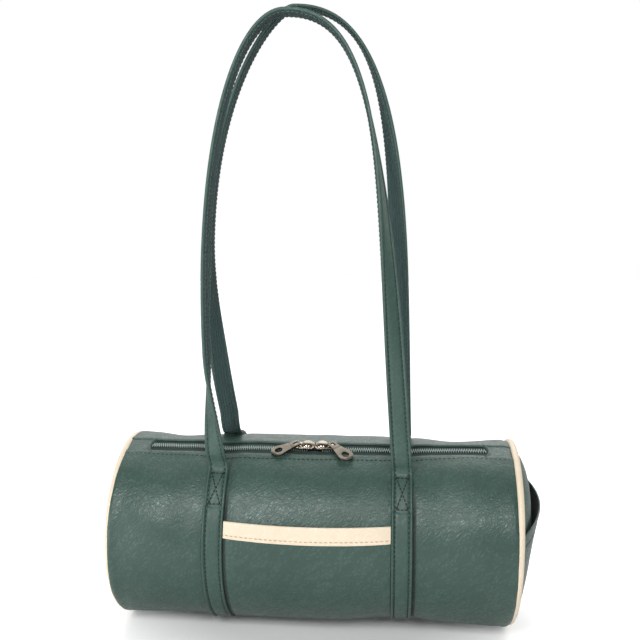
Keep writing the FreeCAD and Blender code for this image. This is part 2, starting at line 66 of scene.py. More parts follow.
# Sizes that come from the solids
panel_low, panel_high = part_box("body_panel")
BARREL_RADIUS = (panel_high.y - panel_low.y) / 2
AXIS_HEIGHT = (panel_high.z + panel_low.z) / 2
PANEL_HALF = panel_high.x
band_low, band_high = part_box("right_band_face")
BAND_PLACE = (band_high.x + band_low.x) / 2
STRAP_WIDTH = band_high.x - band_low.x
piping_low, piping_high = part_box("right_piping")
PIPING_RADIUS = (piping_high.x - piping_low.x) / 2
PIPING_PLACE = (piping_high.x + piping_low.x) / 2
PIPING_RING = (piping_high.z - piping_low.z) / 2 - PIPING_RADIUS
ZIP_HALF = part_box("zip_coil_front")[1].x
JOINTS = {joint["name"]: joint for joint in frame["joints"]}
TURN_OF_METRE = math.degrees(1 / BARREL_RADIUS)

# The zip and the edges beside it
ZIP_TURN = 16
WINDOW_TURN = 0.0088 * TURN_OF_METRE
LIP_ROUND = 0.0011
LIP_ROLL = math.radians(150)
LIP_SHARE = 0.02
LIP_RISE = 0.0003
LIP_WIDTH = 0.0050
LIP_FALL = 1.4
TOPSTITCH_SETBACK = 0.0048
TOPSTITCH_NEAR = 0.0030
TOPSTITCH_CLOSING = (0.045, 0.09)
TOPSTITCH_LIFT = 0.0001
TOPSTITCH_END = 0.002
TAB_BOW = 0.0035
TAB_ROLL = 0.0011
TAB_ROLL_PLACE = 0.06
TAB_ROLL_SPREAD = 0.07
TAB_TUCK = 0.0016
TAB_TUCK_SPREAD = 0.035
TAB_OVERLAP = 0.6
TAB_START = 0.0012
TAB_SEAT = 0.0004
TAB_HOLLOW = 0.0004
TAPE_LIFT = -0.0017
TAPE_WIDTH = 0.015
TAPE_WALL = 0.0005
TAPE_START = 0.0010
TAPE_REACH = 0.998
TAPE_ANCHOR = 0.008
COIL_LIFT = -0.0008
TOOTH_PITCH = 0.0017
TOOTH_LENGTH = 0.0033
TOOTH_RADIUS = 0.00074
TOOTH_WIDTH = 0.00045
TOOTH_LOCK = 0.0005
COIL_PARTING = 0.0052
COIL_ANCHOR = 0.045
ZIP_FORWARD = 0.7
ZIP_FORWARD_SPREAD = 0.06
ZIP_BACK = 1.9
ZIP_BACK_LENGTH = 0.1
ZIP_BEND_PLACE = 0.03
ZIP_DRAG = 34

# Straps, bands and their sewn boxes
FRONT_EXIT = ZIP_TURN + 24
BACK_EXIT = ZIP_TURN - 24
BOX_LENGTH = 0.027
BOX_TURN = BOX_LENGTH * TURN_OF_METRE
BOX_HALF = 0.0043
BOX_SHARES = (0.09, 0.94)
BOX_STITCH = (0.0029, 0.0025, 0.00052)
BAND_SEAT = 0.00015
BAND_THIN = 0.36
BAND_TAPER = 1.6
BAND_SETBACK = 1.0
STRAP_DRIFT = -0.0018
STITCH_LINE = 0.0050
STITCH_PITCH = 0.0034
STITCH_LENGTH = 0.0025
THREAD_RADIUS = 0.00042
WEBBING_THREAD = 0.00026
FACE_BOTTOM = -0.8
FACE_TOP = 0.0
FACE_MIDDLE = 0.00140
GROOVE_HEIGHT = 0.00066
BAND_GROOVE = 0.00185

# The front pocket
POCKET_TOP = 70.6
POCKET_BOTTOM = 160
POCKET_HALF = BAND_PLACE - STRAP_WIDTH / 2 - 0.0003
POCKET_MOUTH_SAG = 2.0
POCKET_LIFT = 0.0014
POCKET_SLACK = 0.0013
POCKET_SLACK_SPREAD = 30
POCKET_CLOSING = (2, 9)
POCKET_SIDE = 0.001
POCKET_CLEARANCE = 0.0002
POCKET_LINING_TOP = 1.5
POCKET_LINING_FOOT = 4
POCKET_LINING_LIFT = 0.4
BINDING_WIDTH = 0.0109
BINDING_TUCK = 0.008
BINDING_WALL = 0.0006
BINDING_STITCH = 0.0086
BINDING_GROOVE = 0.00025
BINDING_GROOVE_SPREAD = 0.0007
BINDING_EDGE = 0.0004
BINDING_EDGE_SPREAD = 0.0006
BINDING_SIDE = 0.0001
BINDING_SEWN = (0.0036, 0.0026)
BINDING_THREAD_SINK = 0.0002

# The ends and the end pocket, which has rolled forward with the zip
END_RIM = PIPING_RING - PIPING_RADIUS + 0.0006
END_EDGE = PIPING_PLACE + 0.0004
END_PUFF = {-1: 0.0142, 1: 0.0130}
# How full each end's curve is above and below its middle
END_ROUND = {-1: (2.0, 2.0), 1: (5.6, 1.7)}
END_FULL_REACH = 0.1
END_CROWDING = 1.7
END_RIPPLE = 0.0006
END_RIPPLE_SIZE = 0.02
END_RIPPLE_START = 3.0
END_INSIDE = 0.05
END_LEAN = 0.0032
LEAN_START = 0.095
END_POCKET_MOUTH = 0.030
END_POCKET_FOOT = -0.060
END_POCKET_RIM = END_RIM - 0.0004
END_POCKET_ROLL = 10
END_POCKET_GAPE = 0.0070
END_POCKET_FLARE = 3.4
END_POCKET_HEM = 0.0075
END_POCKET_HEM_DEPTH = 0.0003
END_POCKET_HEM_SPREAD = 0.0008
END_POCKET_BEVEL = 0.0004
END_POCKET_SEWN = 0.97
END_POCKET_THREAD = 0.0001
END_POCKET_INSIDE = (0.10, 0.0, AXIS_HEIGHT)
END_POCKET_SEAT = 0.0008
END_POCKET_STAND = 0.0022
END_CLOTH_WALL = 0.0002
END_CLOTH_GAP = 0.0003
END_CLOTH_DOWN = 0.96
END_CLOTH_UP = 0.955

# Sliders and pulls, in the zip's own frame
SLIDER_MEETING = 0.0008
SLIDER_LENGTH = 0.0162
SLIDER_NOSE = 0.0104
SLIDER_TAIL = 0.0082
SLIDER_CORNER = 0.0026
SLIDER_PLATE = 0.0013
SLIDER_TOP = 0.0724
SLIDER_BASE = 0.0662
SLIDER_DOME = (0.0050, 0.0048, 0.0033)
DOME_SETBACK = 0.0052
DOME_SINK = 0.0002
DOME_ROOT = 0.0008
SLIDER_BEVEL = 0.00022
NECK_SETBACK = 0.0016
NECK_LENGTH = 0.003
NECK_WIDTH = 0.0018
NECK_ROOT = 0.0002
CROWN_PLACE = 0.0122
CROWN_RADIUS = 0.0032
CROWN_LEG = 0.0006
CROWN_WIRE = 0.00065
CROWN_ROOT = 0.0004
PULL_LENGTH = 0.023
PULL_START = 0.0002
PULL_END = 0.006
PULL_BEVEL = 0.0002
PULL_HOLE = 0.003
PULL_NECK = 0.0066
PULL_SCORE = 0.0072
PULL_SCORE_WIDTH = 0.0005
PULL_SCORE_DEPTH = 0.00016
PULL_PAST = 0.01
PULL_WALL = 0.0013
PULL_EYE = 0.0038
PULL_EYE_WIDTH = 0.0026
PULL_LIFT = 0.0019
PULL_HANG = {"left": (29, 9.5), "right": (46, 9)}

# Walls and linings
END_POCKET_WALL = 0.0012
LEATHER_WALL = 0.0012
FOAM_WALL = 0.0016
LINING_WALL = 0.0004
LINING_GAP = 0.0004
LINING_MOUTH = 0.009
LINING_REACH = 0.99
LINING_SHARE = 0.985
END_LINING_GAP = 0.0008
POCKET_WALL = 0.0010
POCKET_LINING_WALL = 0.0003
BINDING_RADIUS = POCKET_WALL / 2 + BINDING_WALL + 0.0001

# Soft swells and dents of the leather: where they are, how far they spread and how high they stand
Swell = namedtuple("Swell", "turn place turn_spread place_spread lift")
SWELLS = (
    Swell(-22, -0.106, 22, 0.021, -0.0036),
    Swell(-22, 0.108, 22, 0.022, -0.0036),
    Swell(32, 0.112, 13, 0.020, 0.0018),
    Swell(34, -0.112, 12, 0.018, -0.0010),
    Swell(23, -0.142, 10, 0.010, -0.0010),
    Swell(150, 0.060, 36, 0.028, -0.0036),
    Swell(168, -0.135, 36, 0.018, 0.0010),
    Swell(168, 0.135, 36, 0.018, 0.0010),
    Swell(88, -0.108, 34, 0.022, 0.0016),
    Swell(84, 0.110, 36, 0.022, 0.0016),
    Swell(62, 0.096, 22, 0.010, -0.0013),
    Swell(66, 0.119, 24, 0.013, 0.0011),
    Swell(72, -0.115, 26, 0.016, 0.0012),
    Swell(66, -0.089, 22, 0.009, -0.0012),
    Swell(56, -0.046, 15, 0.014, -0.0009),
    Swell(52, 0.010, 14, 0.030, 0.0008),
    Swell(108, 0.004, 30, 0.042, 0.0010),
    Swell(-95, -0.104, 36, 0.024, 0.0017),
    Swell(-88, 0.020, 34, 0.040, 0.0014),
    Swell(-100, 0.108, 34, 0.022, 0.0012),
    Swell(-52, -0.036, 18, 0.016, -0.0010),
    Swell(-58, 0.044, 16, 0.014, -0.0012),
)
BAND_CINCH = 0.0011
BAND_CINCH_SPREAD = 0.010
RIPPLE = 0.00035
RIPPLE_SIZE = 0.017
TUCK_DEPTH = 0.0014
TUCK_LENGTH = 0.007
FRONT_CINCH = 0.0016
FRONT_CINCH_TURN = 62
FRONT_CINCH_SPREAD = 34
EDGE_REACH = {-1: 0.0035, 1: 0.0020}
EDGE_COVER = 0.0007
PIPING_WAVE = 0.0003
PIPING_WAVE_TURNS = 4.0
PIPING_WAVE_START = 5.0
PIPING_STEPS = 180
PIPING_SIDES = 20
EDGE_RISE = 1.6
EDGE_DROP = 2
EDGE_DROP_POWER = 6
# How far the edge covers the piping at the top, and the turns from the top by which it covers it in full
COVER_LEAST = {-1: 0.66, 1: 0.0}
COVER_TURNS = {-1: (25, 45), 1: (15, 110)}

# Handles: the curve of each leg, and the share of it in which the strap turns on edge
Leg = namedtuple("Leg", "splay rise reach twist")
Handle = namedtuple("Handle", "body exit_turn outward crown ease left right")
HANDLES = {
    "front": Handle(
        body="front_handle",
        exit_turn=FRONT_EXIT,
        outward=1,
        crown=Vector((-0.021, -0.022, 0.4605)),
        ease=0.75,
        left=Leg(0.029, 0.199, 0.042, 0.15),
        right=Leg(-0.019, 0.235, 0.066, 0.55),
    ),
    "back": Handle(
        body="back_handle",
        exit_turn=BACK_EXIT,
        outward=-1,
        crown=Vector((-0.016, -0.006, 0.4675)),
        ease=1.0,
        left=Leg(0.048, 0.223, 0.020, 0.26),
        right=Leg(-0.008, 0.192, 0.082, 0.80),
    ),
}
HANDLE_STEPS = 74
LEG_CROWDING = 1.35
FOOT_RISE = 0.009
FOOT_BEND = 0.45
TAIL_STEPS = 14
TAIL_LIFT = (0.0015, 0.0027)
TAIL_OVERRUN = 0.14
TAIL_SINK = 0.0013
WEBBING_RIBS = 6
WEBBING_HALF = 0.0063
WEBBING_VALLEY = -0.00125
WEBBING_SOLE = -0.00165
WEBBING_STITCH = 0.0058
WEBBING_EDGE = WEBBING_HALF + 0.0002
WEBBING_SIDES = (-0.0005, -0.0011)

# Camera of the photograph
CAMERA_TARGET = Vector((0.00205, 0.0, 0.2354))
CAMERA_DISTANCE = 0.6229
CAMERA_PITCH = math.radians(6.55)
CAMERA_AZIMUTH = math.radians(5.19)
CAMERA_LENS = 45.2
CAMERA_NEAR = 0.01
SENSOR_WIDTH = 36.0

# Light, backdrop and floor
Softbox = namedtuple("Softbox", "place aim size power")
SOFTBOXES = {
    "left_softbox": Softbox((-0.37, -1.06, 0.86), (-0.02, -0.05, 0.10), (0.28, 0.42), 8),
    "right_softbox": Softbox((0.42, -1.06, 0.83), (0.02, -0.05, 0.10), (0.22, 0.42), 5),
    "left_fill": Softbox((-0.95, -0.75, 0.14), (-0.06, -0.05, 0.05), (0.5, 0.5), 4.5),
}
SUN_POWER = 1.2
SUN_SPREAD = math.radians(70)
SUN_TILT = (math.radians(-38), math.radians(6), 0)
AMBIENT = (0.12, 1.0)
AMBIENT_DEPTH = (-0.3, 0.6)
FLOOR_SIZE = 8.0
FLOOR_ROUGH = 0.7
FLOOR_SPECULAR = 0.2
FLOOR_DULL = (0.88, 0.88, 0.87, 1)
FLOOR_BRIGHT = (0.93, 0.93, 0.92, 1)
GLOW_SHAPE = (0.6, 1, 1)
GLOW_REACH = (0.05, 0.13)
GLOW_STRENGTH = (0.02, 0.45)

# Names and signs of the two sides, and the way along the barrel
SIDES = (("left", -1), ("right", 1))
ALONG = Vector((1, 0, 0))


def smooth(share):
    """A soft step from 0 to 1."""
    share = min(1.0, max(0.0, share))
    return share * share * (3 - 2 * share)


def bell(distance, spread):
    return math.exp(-((distance / spread) ** 2))


def turn_gap(first, second):
    return (first - second + 180) % 360 - 180


def outward(turn):
    angle = math.radians(turn)
    return Vector((0, -math.sin(angle), math.cos(angle)))


def forward(turn):
    """The way round the barrel in which the turn grows."""
    angle = math.radians(turn)
    return Vector((0, -math.cos(angle), -math.sin(angle)))


def leather_lift(turn, x):
    """How far the soft leather stands off a true cylinder."""
    lift = 0.0
    for swell in SWELLS:
        round_it = bell(turn_gap(turn, swell.turn), swell.turn_spread)
        lift += swell.lift * round_it * bell(x - swell.place, swell.place_spread)
    cinch = BAND_CINCH + FRONT_CINCH * bell(turn_gap(turn, FRONT_CINCH_TURN), FRONT_CINCH_SPREAD)
    lift -= cinch * bell(abs(x) - BAND_PLACE, BAND_CINCH_SPREAD)
    lift += RIPPLE * noise.noise((outward(turn) * BARREL_RADIUS + Vector((x, 0, 0))) / RIPPLE_SIZE)
    side = -1 if x < 0 else 1
    cover = edge_cover(side, turn)
    roll = max(0.0, abs(x) - panel_edge(side, turn) + TUCK_LENGTH) / TUCK_LENGTH
    swell = EDGE_COVER * (smooth(EDGE_RISE * roll) - EDGE_DROP * roll**EDGE_DROP_POWER)
    return lift + swell * cover - TUCK_DEPTH * roll * roll * (1 - cover)


def edge_cover(side, turn):
    """How far the leather's edge rolls over the piping: all round on the left, and low down on the right."""
    start, spread = COVER_TURNS[side]
    grown = smooth((abs(turn_gap(turn, 0)) - start) / spread)
    return COVER_LEAST[side] + (1 - COVER_LEAST[side]) * grown


def panel_edge(side, turn):
    return PANEL_HALF + EDGE_REACH[side] * edge_cover(side, turn)


def zip_turn(x):
    """The zip wanders a little: forward in the middle, back at its right end."""
    ahead = ZIP_FORWARD * bell(x + ZIP_BEND_PLACE, ZIP_FORWARD_SPREAD)
    return ZIP_TURN + ahead - ZIP_BACK * smooth((x - ZIP_BEND_PLACE) / ZIP_BACK_LENGTH)


def with_zip(turn, x):
    """A turn of the body, moved with the zip where it is near."""
    return turn + (zip_turn(x) - ZIP_TURN) * bell(turn_gap(turn, ZIP_TURN), ZIP_DRAG)


def band_place(side):
    return side * BAND_PLACE + STRAP_DRIFT


def end_lean(turn, x):
    """The right end leans out at its top."""
    reach = smooth((x - LEAN_START) / (PANEL_HALF - LEAN_START))
    return END_LEAN * reach * (1 + math.cos(math.radians(turn))) / 2


def on_barrel(turn, x, lift=0.0):
    """A point above the sagging leather."""
    radius = BARREL_RADIUS + leather_lift(turn, x) + lift
    return Vector((x + end_lean(turn, x), 0, AXIS_HEIGHT)) + outward(turn) * radius


def deselect():
    bpy.ops.object.select_all(action="DESELECT")


def pick(piece):
    """The only selected object, and the active one."""
    deselect()
    piece.select_set(True)
    bpy.context.view_layer.objects.active = piece


def named(name):
    piece = bpy.context.object
    piece.name = name
    piece.data.name = name
    return piece


@contextmanager
def edit_mode(piece):
    """Edit mode on one piece, with all of it selected."""
    pick(piece)
    bpy.ops.object.mode_set(mode="EDIT")
    bpy.ops.mesh.select_all(action="SELECT")
    yield
    bpy.ops.object.mode_set(mode="OBJECT")


def apply_modifier(piece, kind, **settings):
    pick(piece)
    modifier = piece.modifiers.new(kind.title(), kind)
    for name, value in settings.items():
        setattr(modifier, name, value)
    bpy.ops.object.modifier_apply(modifier=modifier.name)


def bevel_edges(piece, width, segments, degrees):
    """Rounds the edges that turn more than an angle."""
    limit = math.radians(degrees)
    apply_modifier(piece, "BEVEL", width=width, segments=segments, limit_method="ANGLE", angle_limit=limit)


def smooth_shade(piece, degrees=50):
    pick(piece)
    bpy.ops.object.shade_smooth_by_angle(angle=math.radians(degrees))


def place_piece(piece, matrix):
    """Puts a piece modelled at the origin where it belongs, in its mesh."""
    piece.data.transform(matrix)
    piece.data.update()


def wear(piece, material, body, slot, *nodes):
    """Gives a piece its finish and its body, and hides the solids that it stands for. The slot is not used.
    """
    piece.data.materials.clear()
    piece.data.materials.append(material)
    if nodes:
        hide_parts(*nodes)
    if body:
        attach(piece, body)


def grid_piece(name, along, across, place):
    """A grid whose vertices go to place(s, t), with s and t from 0 to 1."""
    deselect()
    bpy.ops.mesh.primitive_grid_add(x_subdivisions=along, y_subdivisions=across, size=1)
    piece = named(name)
    for vertex in piece.data.vertices:
        vertex.co = place(vertex.co.x + 0.5, vertex.co.y + 0.5)
    return piece


def face_away(piece, inside):
    """Turns the faces of an open sheet away from a point, or from the nearest point of a line along X."""
    total = 0.0
    for face in piece.data.polygons:
        centre = Vector((face.center.x if inside[0] is None else inside[0], inside[1], inside[2]))
        total += face.normal.dot(face.center - centre) * face.area
    if total < 0:
        with edit_mode(piece):
            bpy.ops.mesh.flip_normals()


BARREL_AXIS = (None, 0.0, AXIS_HEIGHT)


def sheet_piece(name, along, across, place, wall, inside=BARREL_AXIS, joined=False):
    """A curved sheet with a wall behind its outer face."""
    piece = grid_piece(name, along, across, place)
    if joined:
        with edit_mode(piece):
            bpy.ops.mesh.remove_doubles(threshold=1e-5)
    face_away(piece, inside)
    apply_modifier(piece, "SOLIDIFY", thickness=wall, offset=-1, use_even_offset=True)
    smooth_shade(piece)
    return piece


def loop_piece(name, stations, loop, place_on, ring=False):
    """A closed section: its points (width, height) go to place_on(station, width, height)."""
    last, count = len(stations) - 1, len(loop)

    def place(s, t):
        return place_on(stations[round(s * last)], *loop[round(t * count) % count])

    piece = grid_piece(name, last, count, place)
    with edit_mode(piece):
        bpy.ops.mesh.remove_doubles(threshold=1e-6)
        if not ring:
            bpy.ops.mesh.fill_holes(sides=0)
        bpy.ops.mesh.select_all(action="SELECT")
        bpy.ops.mesh.normals_make_consistent(inside=False)
    smooth_shade(piece)
    return piece


def tube_piece(name, stations, loop, ring=False):
    """A closed section carried along stations of (point, side, face)."""

    def place_on(station, width, height):
        point, side, face = station
        return point + side * width + face * height

    return loop_piece(name, stations, loop, place_on, ring)


# Materials

# The leather's grain: how its pebbles slant, warp and stand, with finer pores and broader wrinkles
GRAIN_SLANT = math.radians(-48)
GRAIN_STRETCH = (2.6, 1.0, 1.0)
WARP_SCALE = 0.3
WARP_REACH = 0.0022
PEBBLE_EDGE = 0.30
PEBBLE_HEIGHT = 0.22
PORE_SCALE = 2.6
PORE_HEIGHT = 0.02
WRINKLE_EDGE = 0.10
WRINKLE_HEIGHT = 0.18
SWELL_HEIGHT = 0.6
GRAIN_DEPTH = 0.0003
CREASE_SHADE = 0.45
CREASE_ROUGH = 0.10
# Painted shade: a dark line painted into the green leather beside each band's right side, low on the front,
# where the band's shadow would fall
PAINTED_SHADE_SETBACK = 0.0010
PAINTED_SHADE_BLUR = (0.0005, 0.0024)
PAINTED_SHADE_FRONT = (-0.062, -0.048)
PAINTED_SHADE_LOW = (0.03, 0.05)
PAINTED_SHADE_STRENGTH = 0.85
PAINTED_SHADE_ROUGH = 0.3
PAINTED_SHADE_COLOUR = (0.004, 0.010, 0.008, 1)
SPECKLE_SCALE = 24.0
DRIFT_RANGE = (0.3, 0.7)
WEAVE_DEPTH = 0.0005
WEAVE_SHADE = 0.85
RIB_ROUND = 0.6
PICK_ROUND = 0.5
LEATHER_DRIFT = 16.0
LEATHER_SPECULAR = 0.6
CLOTH_DRIFT = 40.0
CLOTH_MOTTLE = 0.5
CLOTH_ROUGH = 0.85
CLOTH_SHEEN = 0.06
METAL_DRIFT = 180.0
THREAD_DRIFT = 60.0


def node(tree, kind, inputs=None, **settings):
    """A node with its settings; an input is a plain value or a socket to link."""
    made = tree.nodes.new("ShaderNode" + kind)
    for name, value in settings.items():
        setattr(made, name, value)
    for name, value in (inputs or {}).items():
        if isinstance(value, bpy.types.NodeSocket):
            tree.links.new(value, made.inputs[name])
        else:
            made.inputs[name].default_value = value
    return made


def maths(tree, operation, first, second=0.0, third=0.0):
    made = node(tree, "Math", {0: first, 1: second, 2: third}, operation=operation)
    return made.outputs[0]


def ranged(tree, value, low, high, to_low=0.0, to_high=1.0):
    inputs = {"Value": value, "From Min": low, "From Max": high, "To Min": to_low, "To Max": to_high}
    return node(tree, "MapRange", inputs, interpolation_type="SMOOTHSTEP").outputs[0]


def mixed(tree, factor, first, second):
    return node(tree, "Mix", {0: factor, 6: first, 7: second}, data_type="RGBA").outputs[2]


def noise_node(tree, place, scale, detail, **more):
    return node(tree, "TexNoise", {"Vector": place, "Scale": scale, "Detail": detail, **more}).outputs


def vectors(tree, operation, inputs):
    return node(tree, "VectorMath", inputs, operation=operation).outputs[0]


def new_group(name, inputs, outputs):
    """A node group that is given a vector and the named numbers, and puts out numbers."""
    tree = bpy.data.node_groups.new(name, "ShaderNodeTree")
    tree.interface.new_socket("Vector", in_out="INPUT", socket_type="NodeSocketVector")
    for label, value in inputs.items():
        socket = tree.interface.new_socket(label, in_out="INPUT", socket_type="NodeSocketFloat")
        socket.default_value = value
    for label in outputs:
        tree.interface.new_socket(label, in_out="OUTPUT", socket_type="NodeSocketFloat")
    return tree, tree.nodes.new("NodeGroupInput").outputs, tree.nodes.new("NodeGroupOutput").inputs


def leather_grain_group():
    """Pebbles with fine pores and soft wrinkles: a height, and where the creases are."""
    tree, given, put = new_group("leather_grain", {"Pebbles": 620.0, "Wrinkles": 90.0}, ("Height", "Crease"))
    slant = {"Vector": given["Vector"], "Rotation": (0.0, GRAIN_SLANT, 0.0), "Scale": GRAIN_STRETCH}
    slanted = node(tree, "Mapping", slant, vector_type="TEXTURE").outputs[0]
    coarse = maths(tree, "MULTIPLY", given["Pebbles"], WARP_SCALE)
    warp = noise_node(tree, slanted, coarse, 1.0)["Color"]
    push = vectors(tree, "SUBTRACT", {0: warp, 1: (0.5, 0.5, 0.5)})
    push = vectors(tree, "SCALE", {0: push, "Scale": WARP_REACH})
    warped = vectors(tree, "ADD", {0: slanted, 1: push})
    spots = {"Vector": warped, "Scale": given["Pebbles"], "Randomness": 1.0}
    cells = node(tree, "TexVoronoi", spots, feature="DISTANCE_TO_EDGE").outputs["Distance"]
    pebble = ranged(tree, cells, 0.0, PEBBLE_EDGE)
    pores = noise_node(tree, warped, maths(tree, "MULTIPLY", given["Pebbles"], PORE_SCALE), 3.0)["Fac"]
    folds = noise_node(tree, warped, given["Wrinkles"], 2.0, Roughness=0.5, Distortion=0.4)["Fac"]
    ridge = maths(tree, "ABSOLUTE", maths(tree, "SUBTRACT", folds, 0.5))
    wrinkle = ranged(tree, ridge, 0.0, WRINKLE_EDGE)
    swells = noise_node(tree, warped, given["Pebbles"], 1.0)["Fac"]
    height = maths(tree, "MULTIPLY_ADD", pebble, PEBBLE_HEIGHT, maths(tree, "MULTIPLY", pores, PORE_HEIGHT))
    height = maths(tree, "MULTIPLY_ADD", wrinkle, WRINKLE_HEIGHT, height)
    height = maths(tree, "MULTIPLY_ADD", swells, SWELL_HEIGHT, height)
    tree.links.new(height, put["Height"])
    tree.links.new(maths(tree, "SUBTRACT", 1.0, maths(tree, "MULTIPLY", pebble, wrinkle)), put["Crease"])
    return tree


def colour_drift_group():
    """A slow change over the surface, from 0 to 1, as hides and dyed cloth have."""
    tree, given, put = new_group("colour_drift", {"Scale": 14.0}, ("Drift", "Speckle"))
    slow = noise_node(tree, given["Vector"], given["Scale"], 3.0)["Fac"]
    quick = maths(tree, "MULTIPLY", given["Scale"], SPECKLE_SCALE)
    fast = noise_node(tree, given["Vector"], quick, 2.0)["Fac"]
    tree.links.new(ranged(tree, slow, *DRIFT_RANGE), put["Drift"])
    tree.links.new(ranged(tree, fast, *DRIFT_RANGE), put["Speckle"])
    return tree


def weave_group():
    """Ribs with crossing picks, on a piece's own UV map."""
    tree, given, put = new_group("rib_weave", {"Picks": 500.0, "Ribs": 12.0}, ("Height", "Gap"))
    parts = node(tree, "SeparateXYZ", {0: given["Vector"]}).outputs
    ribs = maths(tree, "MULTIPLY", parts["Y"], given["Ribs"])
    rib = maths(tree, "ABSOLUTE", maths(tree, "SINE", maths(tree, "MULTIPLY", ribs, math.pi)))
    stagger = maths(tree, "MULTIPLY", maths(tree, "FLOOR", ribs), 0.5)
    picks = maths(tree, "MULTIPLY_ADD", parts["X"], given["Picks"], stagger)
    pick_wave = maths(tree, "ABSOLUTE", maths(tree, "SINE", maths(tree, "MULTIPLY", picks, math.pi)))
    rib_height = maths(tree, "POWER", rib, RIB_ROUND)
    height = maths(tree, "MULTIPLY", rib_height, maths(tree, "POWER", pick_wave, PICK_ROUND))
    tree.links.new(height, put["Height"])
    tree.links.new(maths(tree, "SUBTRACT", 1.0, height), put["Gap"])
    return tree


GRAIN = leather_grain_group()
DRIFT = colour_drift_group()
WEAVE = weave_group()


def new_material(name):
    material = bpy.data.materials.new(name)
    material.use_nodes = True
    tree = material.node_tree
    return material, tree, tree.nodes["Principled BSDF"]


def grouped(tree, group, inputs):
    return node(tree, "Group", inputs, node_tree=group).outputs


def bumped(tree, shader, height, strength, distance):
    bump = node(tree, "Bump", {"Height": height, "Strength": strength, "Distance": distance})
    tree.links.new(bump.outputs["Normal"], shader.inputs["Normal"])


def painted_shade_mask(tree, place, painted_shade_lines):
    """Painted shade: a dark line beside each band, low on the front, where the band's side would cast shade.
    """
    axes = node(tree, "SeparateXYZ", {0: place}).outputs
    mask = 0.0
    for shade_line in painted_shade_lines:
        gap = maths(tree, "ABSOLUTE", maths(tree, "SUBTRACT", axes["X"], shade_line))
        mask = maths(tree, "MAXIMUM", mask, ranged(tree, gap, *PAINTED_SHADE_BLUR, 1.0, 0.0))
    front = ranged(tree, axes["Y"], *PAINTED_SHADE_FRONT, 1.0, 0.0)
    low = ranged(tree, axes["Z"], *PAINTED_SHADE_LOW, 1.0, 0.0)
    return maths(tree, "MULTIPLY", mask, maths(tree, "MAXIMUM", front, low))


def leather(name, dark, light, crease, pebbles, wrinkles, strength, rough, painted_shade_lines=()):
    """Grained leather: two tones that drift, darker creases, a satin face, and painted shade beside the bands
    where lines are given.
    """
    material, tree, shader = new_material(name)
    place = node(tree, "TexCoord").outputs["Object"]
    grain = grouped(tree, GRAIN, {"Vector": place, "Pebbles": pebbles, "Wrinkles": wrinkles})
    drift = grouped(tree, DRIFT, {"Vector": place, "Scale": LEATHER_DRIFT})
    tone = mixed(tree, drift["Drift"], dark, light)
    colour = mixed(tree, maths(tree, "MULTIPLY", grain["Crease"], CREASE_SHADE), tone, crease)
    satin = ranged(tree, drift["Speckle"], 0, 1, *rough)
    roughness = maths(tree, "MULTIPLY_ADD", grain["Crease"], CREASE_ROUGH, satin)
    # Painted shade: darkens the colour and dulls the sheen beside each band, where the band's shadow falls
    if painted_shade_lines:
        painted_shade = maths(tree, "MULTIPLY", painted_shade_mask(tree, place, painted_shade_lines), PAINTED_SHADE_STRENGTH)
        colour = mixed(tree, painted_shade, colour, PAINTED_SHADE_COLOUR)
        roughness = maths(tree, "MULTIPLY_ADD", painted_shade, PAINTED_SHADE_ROUGH, roughness)
    tree.links.new(colour, shader.inputs["Base Color"])
    tree.links.new(roughness, shader.inputs["Roughness"])
    shader.inputs["Specular IOR Level"].default_value = LEATHER_SPECULAR
    bumped(tree, shader, grain["Height"], strength, GRAIN_DEPTH)
    return material


def cloth(name, thread, gap, picks, ribs, strength):
    """Woven cloth on a UV map."""
    material, tree, shader = new_material(name)
    place = node(tree, "TexCoord").outputs
    weave = grouped(tree, WEAVE, {"Vector": place["UV"], "Picks": picks, "Ribs": ribs})
    drift = grouped(tree, DRIFT, {"Vector": place["Object"], "Scale": CLOTH_DRIFT})
    tone = mixed(tree, maths(tree, "MULTIPLY", drift["Speckle"], CLOTH_MOTTLE), thread, gap)
    colour = mixed(tree, maths(tree, "MULTIPLY", weave["Gap"], WEAVE_SHADE), tone, gap)
    tree.links.new(colour, shader.inputs["Base Color"])
    shader.inputs["Roughness"].default_value = CLOTH_ROUGH
    shader.inputs["Sheen Weight"].default_value = CLOTH_SHEEN
    bumped(tree, shader, weave["Height"], strength, WEAVE_DEPTH)
    return material


def metal(name, colour, worn, rough):
    """Plated metal with faint rubbing marks."""
    material, tree, shader = new_material(name)
    place = node(tree, "TexCoord").outputs["Object"]
    drift = grouped(tree, DRIFT, {"Vector": place, "Scale": METAL_DRIFT})
    tree.links.new(mixed(tree, drift["Drift"], colour, worn), shader.inputs["Base Color"])
    tree.links.new(ranged(tree, drift["Speckle"], 0, 1, *rough), shader.inputs["Roughness"])
    shader.inputs["Metallic"].default_value = 1.0
    return material


def thread(name, colour, dark, rough=0.6):
    """Twisted sewing thread, or the nylon of the coil."""
    material, tree, shader = new_material(name)
    place = node(tree, "TexCoord").outputs["Object"]
    drift = grouped(tree, DRIFT, {"Vector": place, "Scale": THREAD_DRIFT})
    tree.links.new(mixed(tree, drift["Speckle"], colour, dark), shader.inputs["Base Color"])
    shader.inputs["Roughness"].default_value = rough
    return material


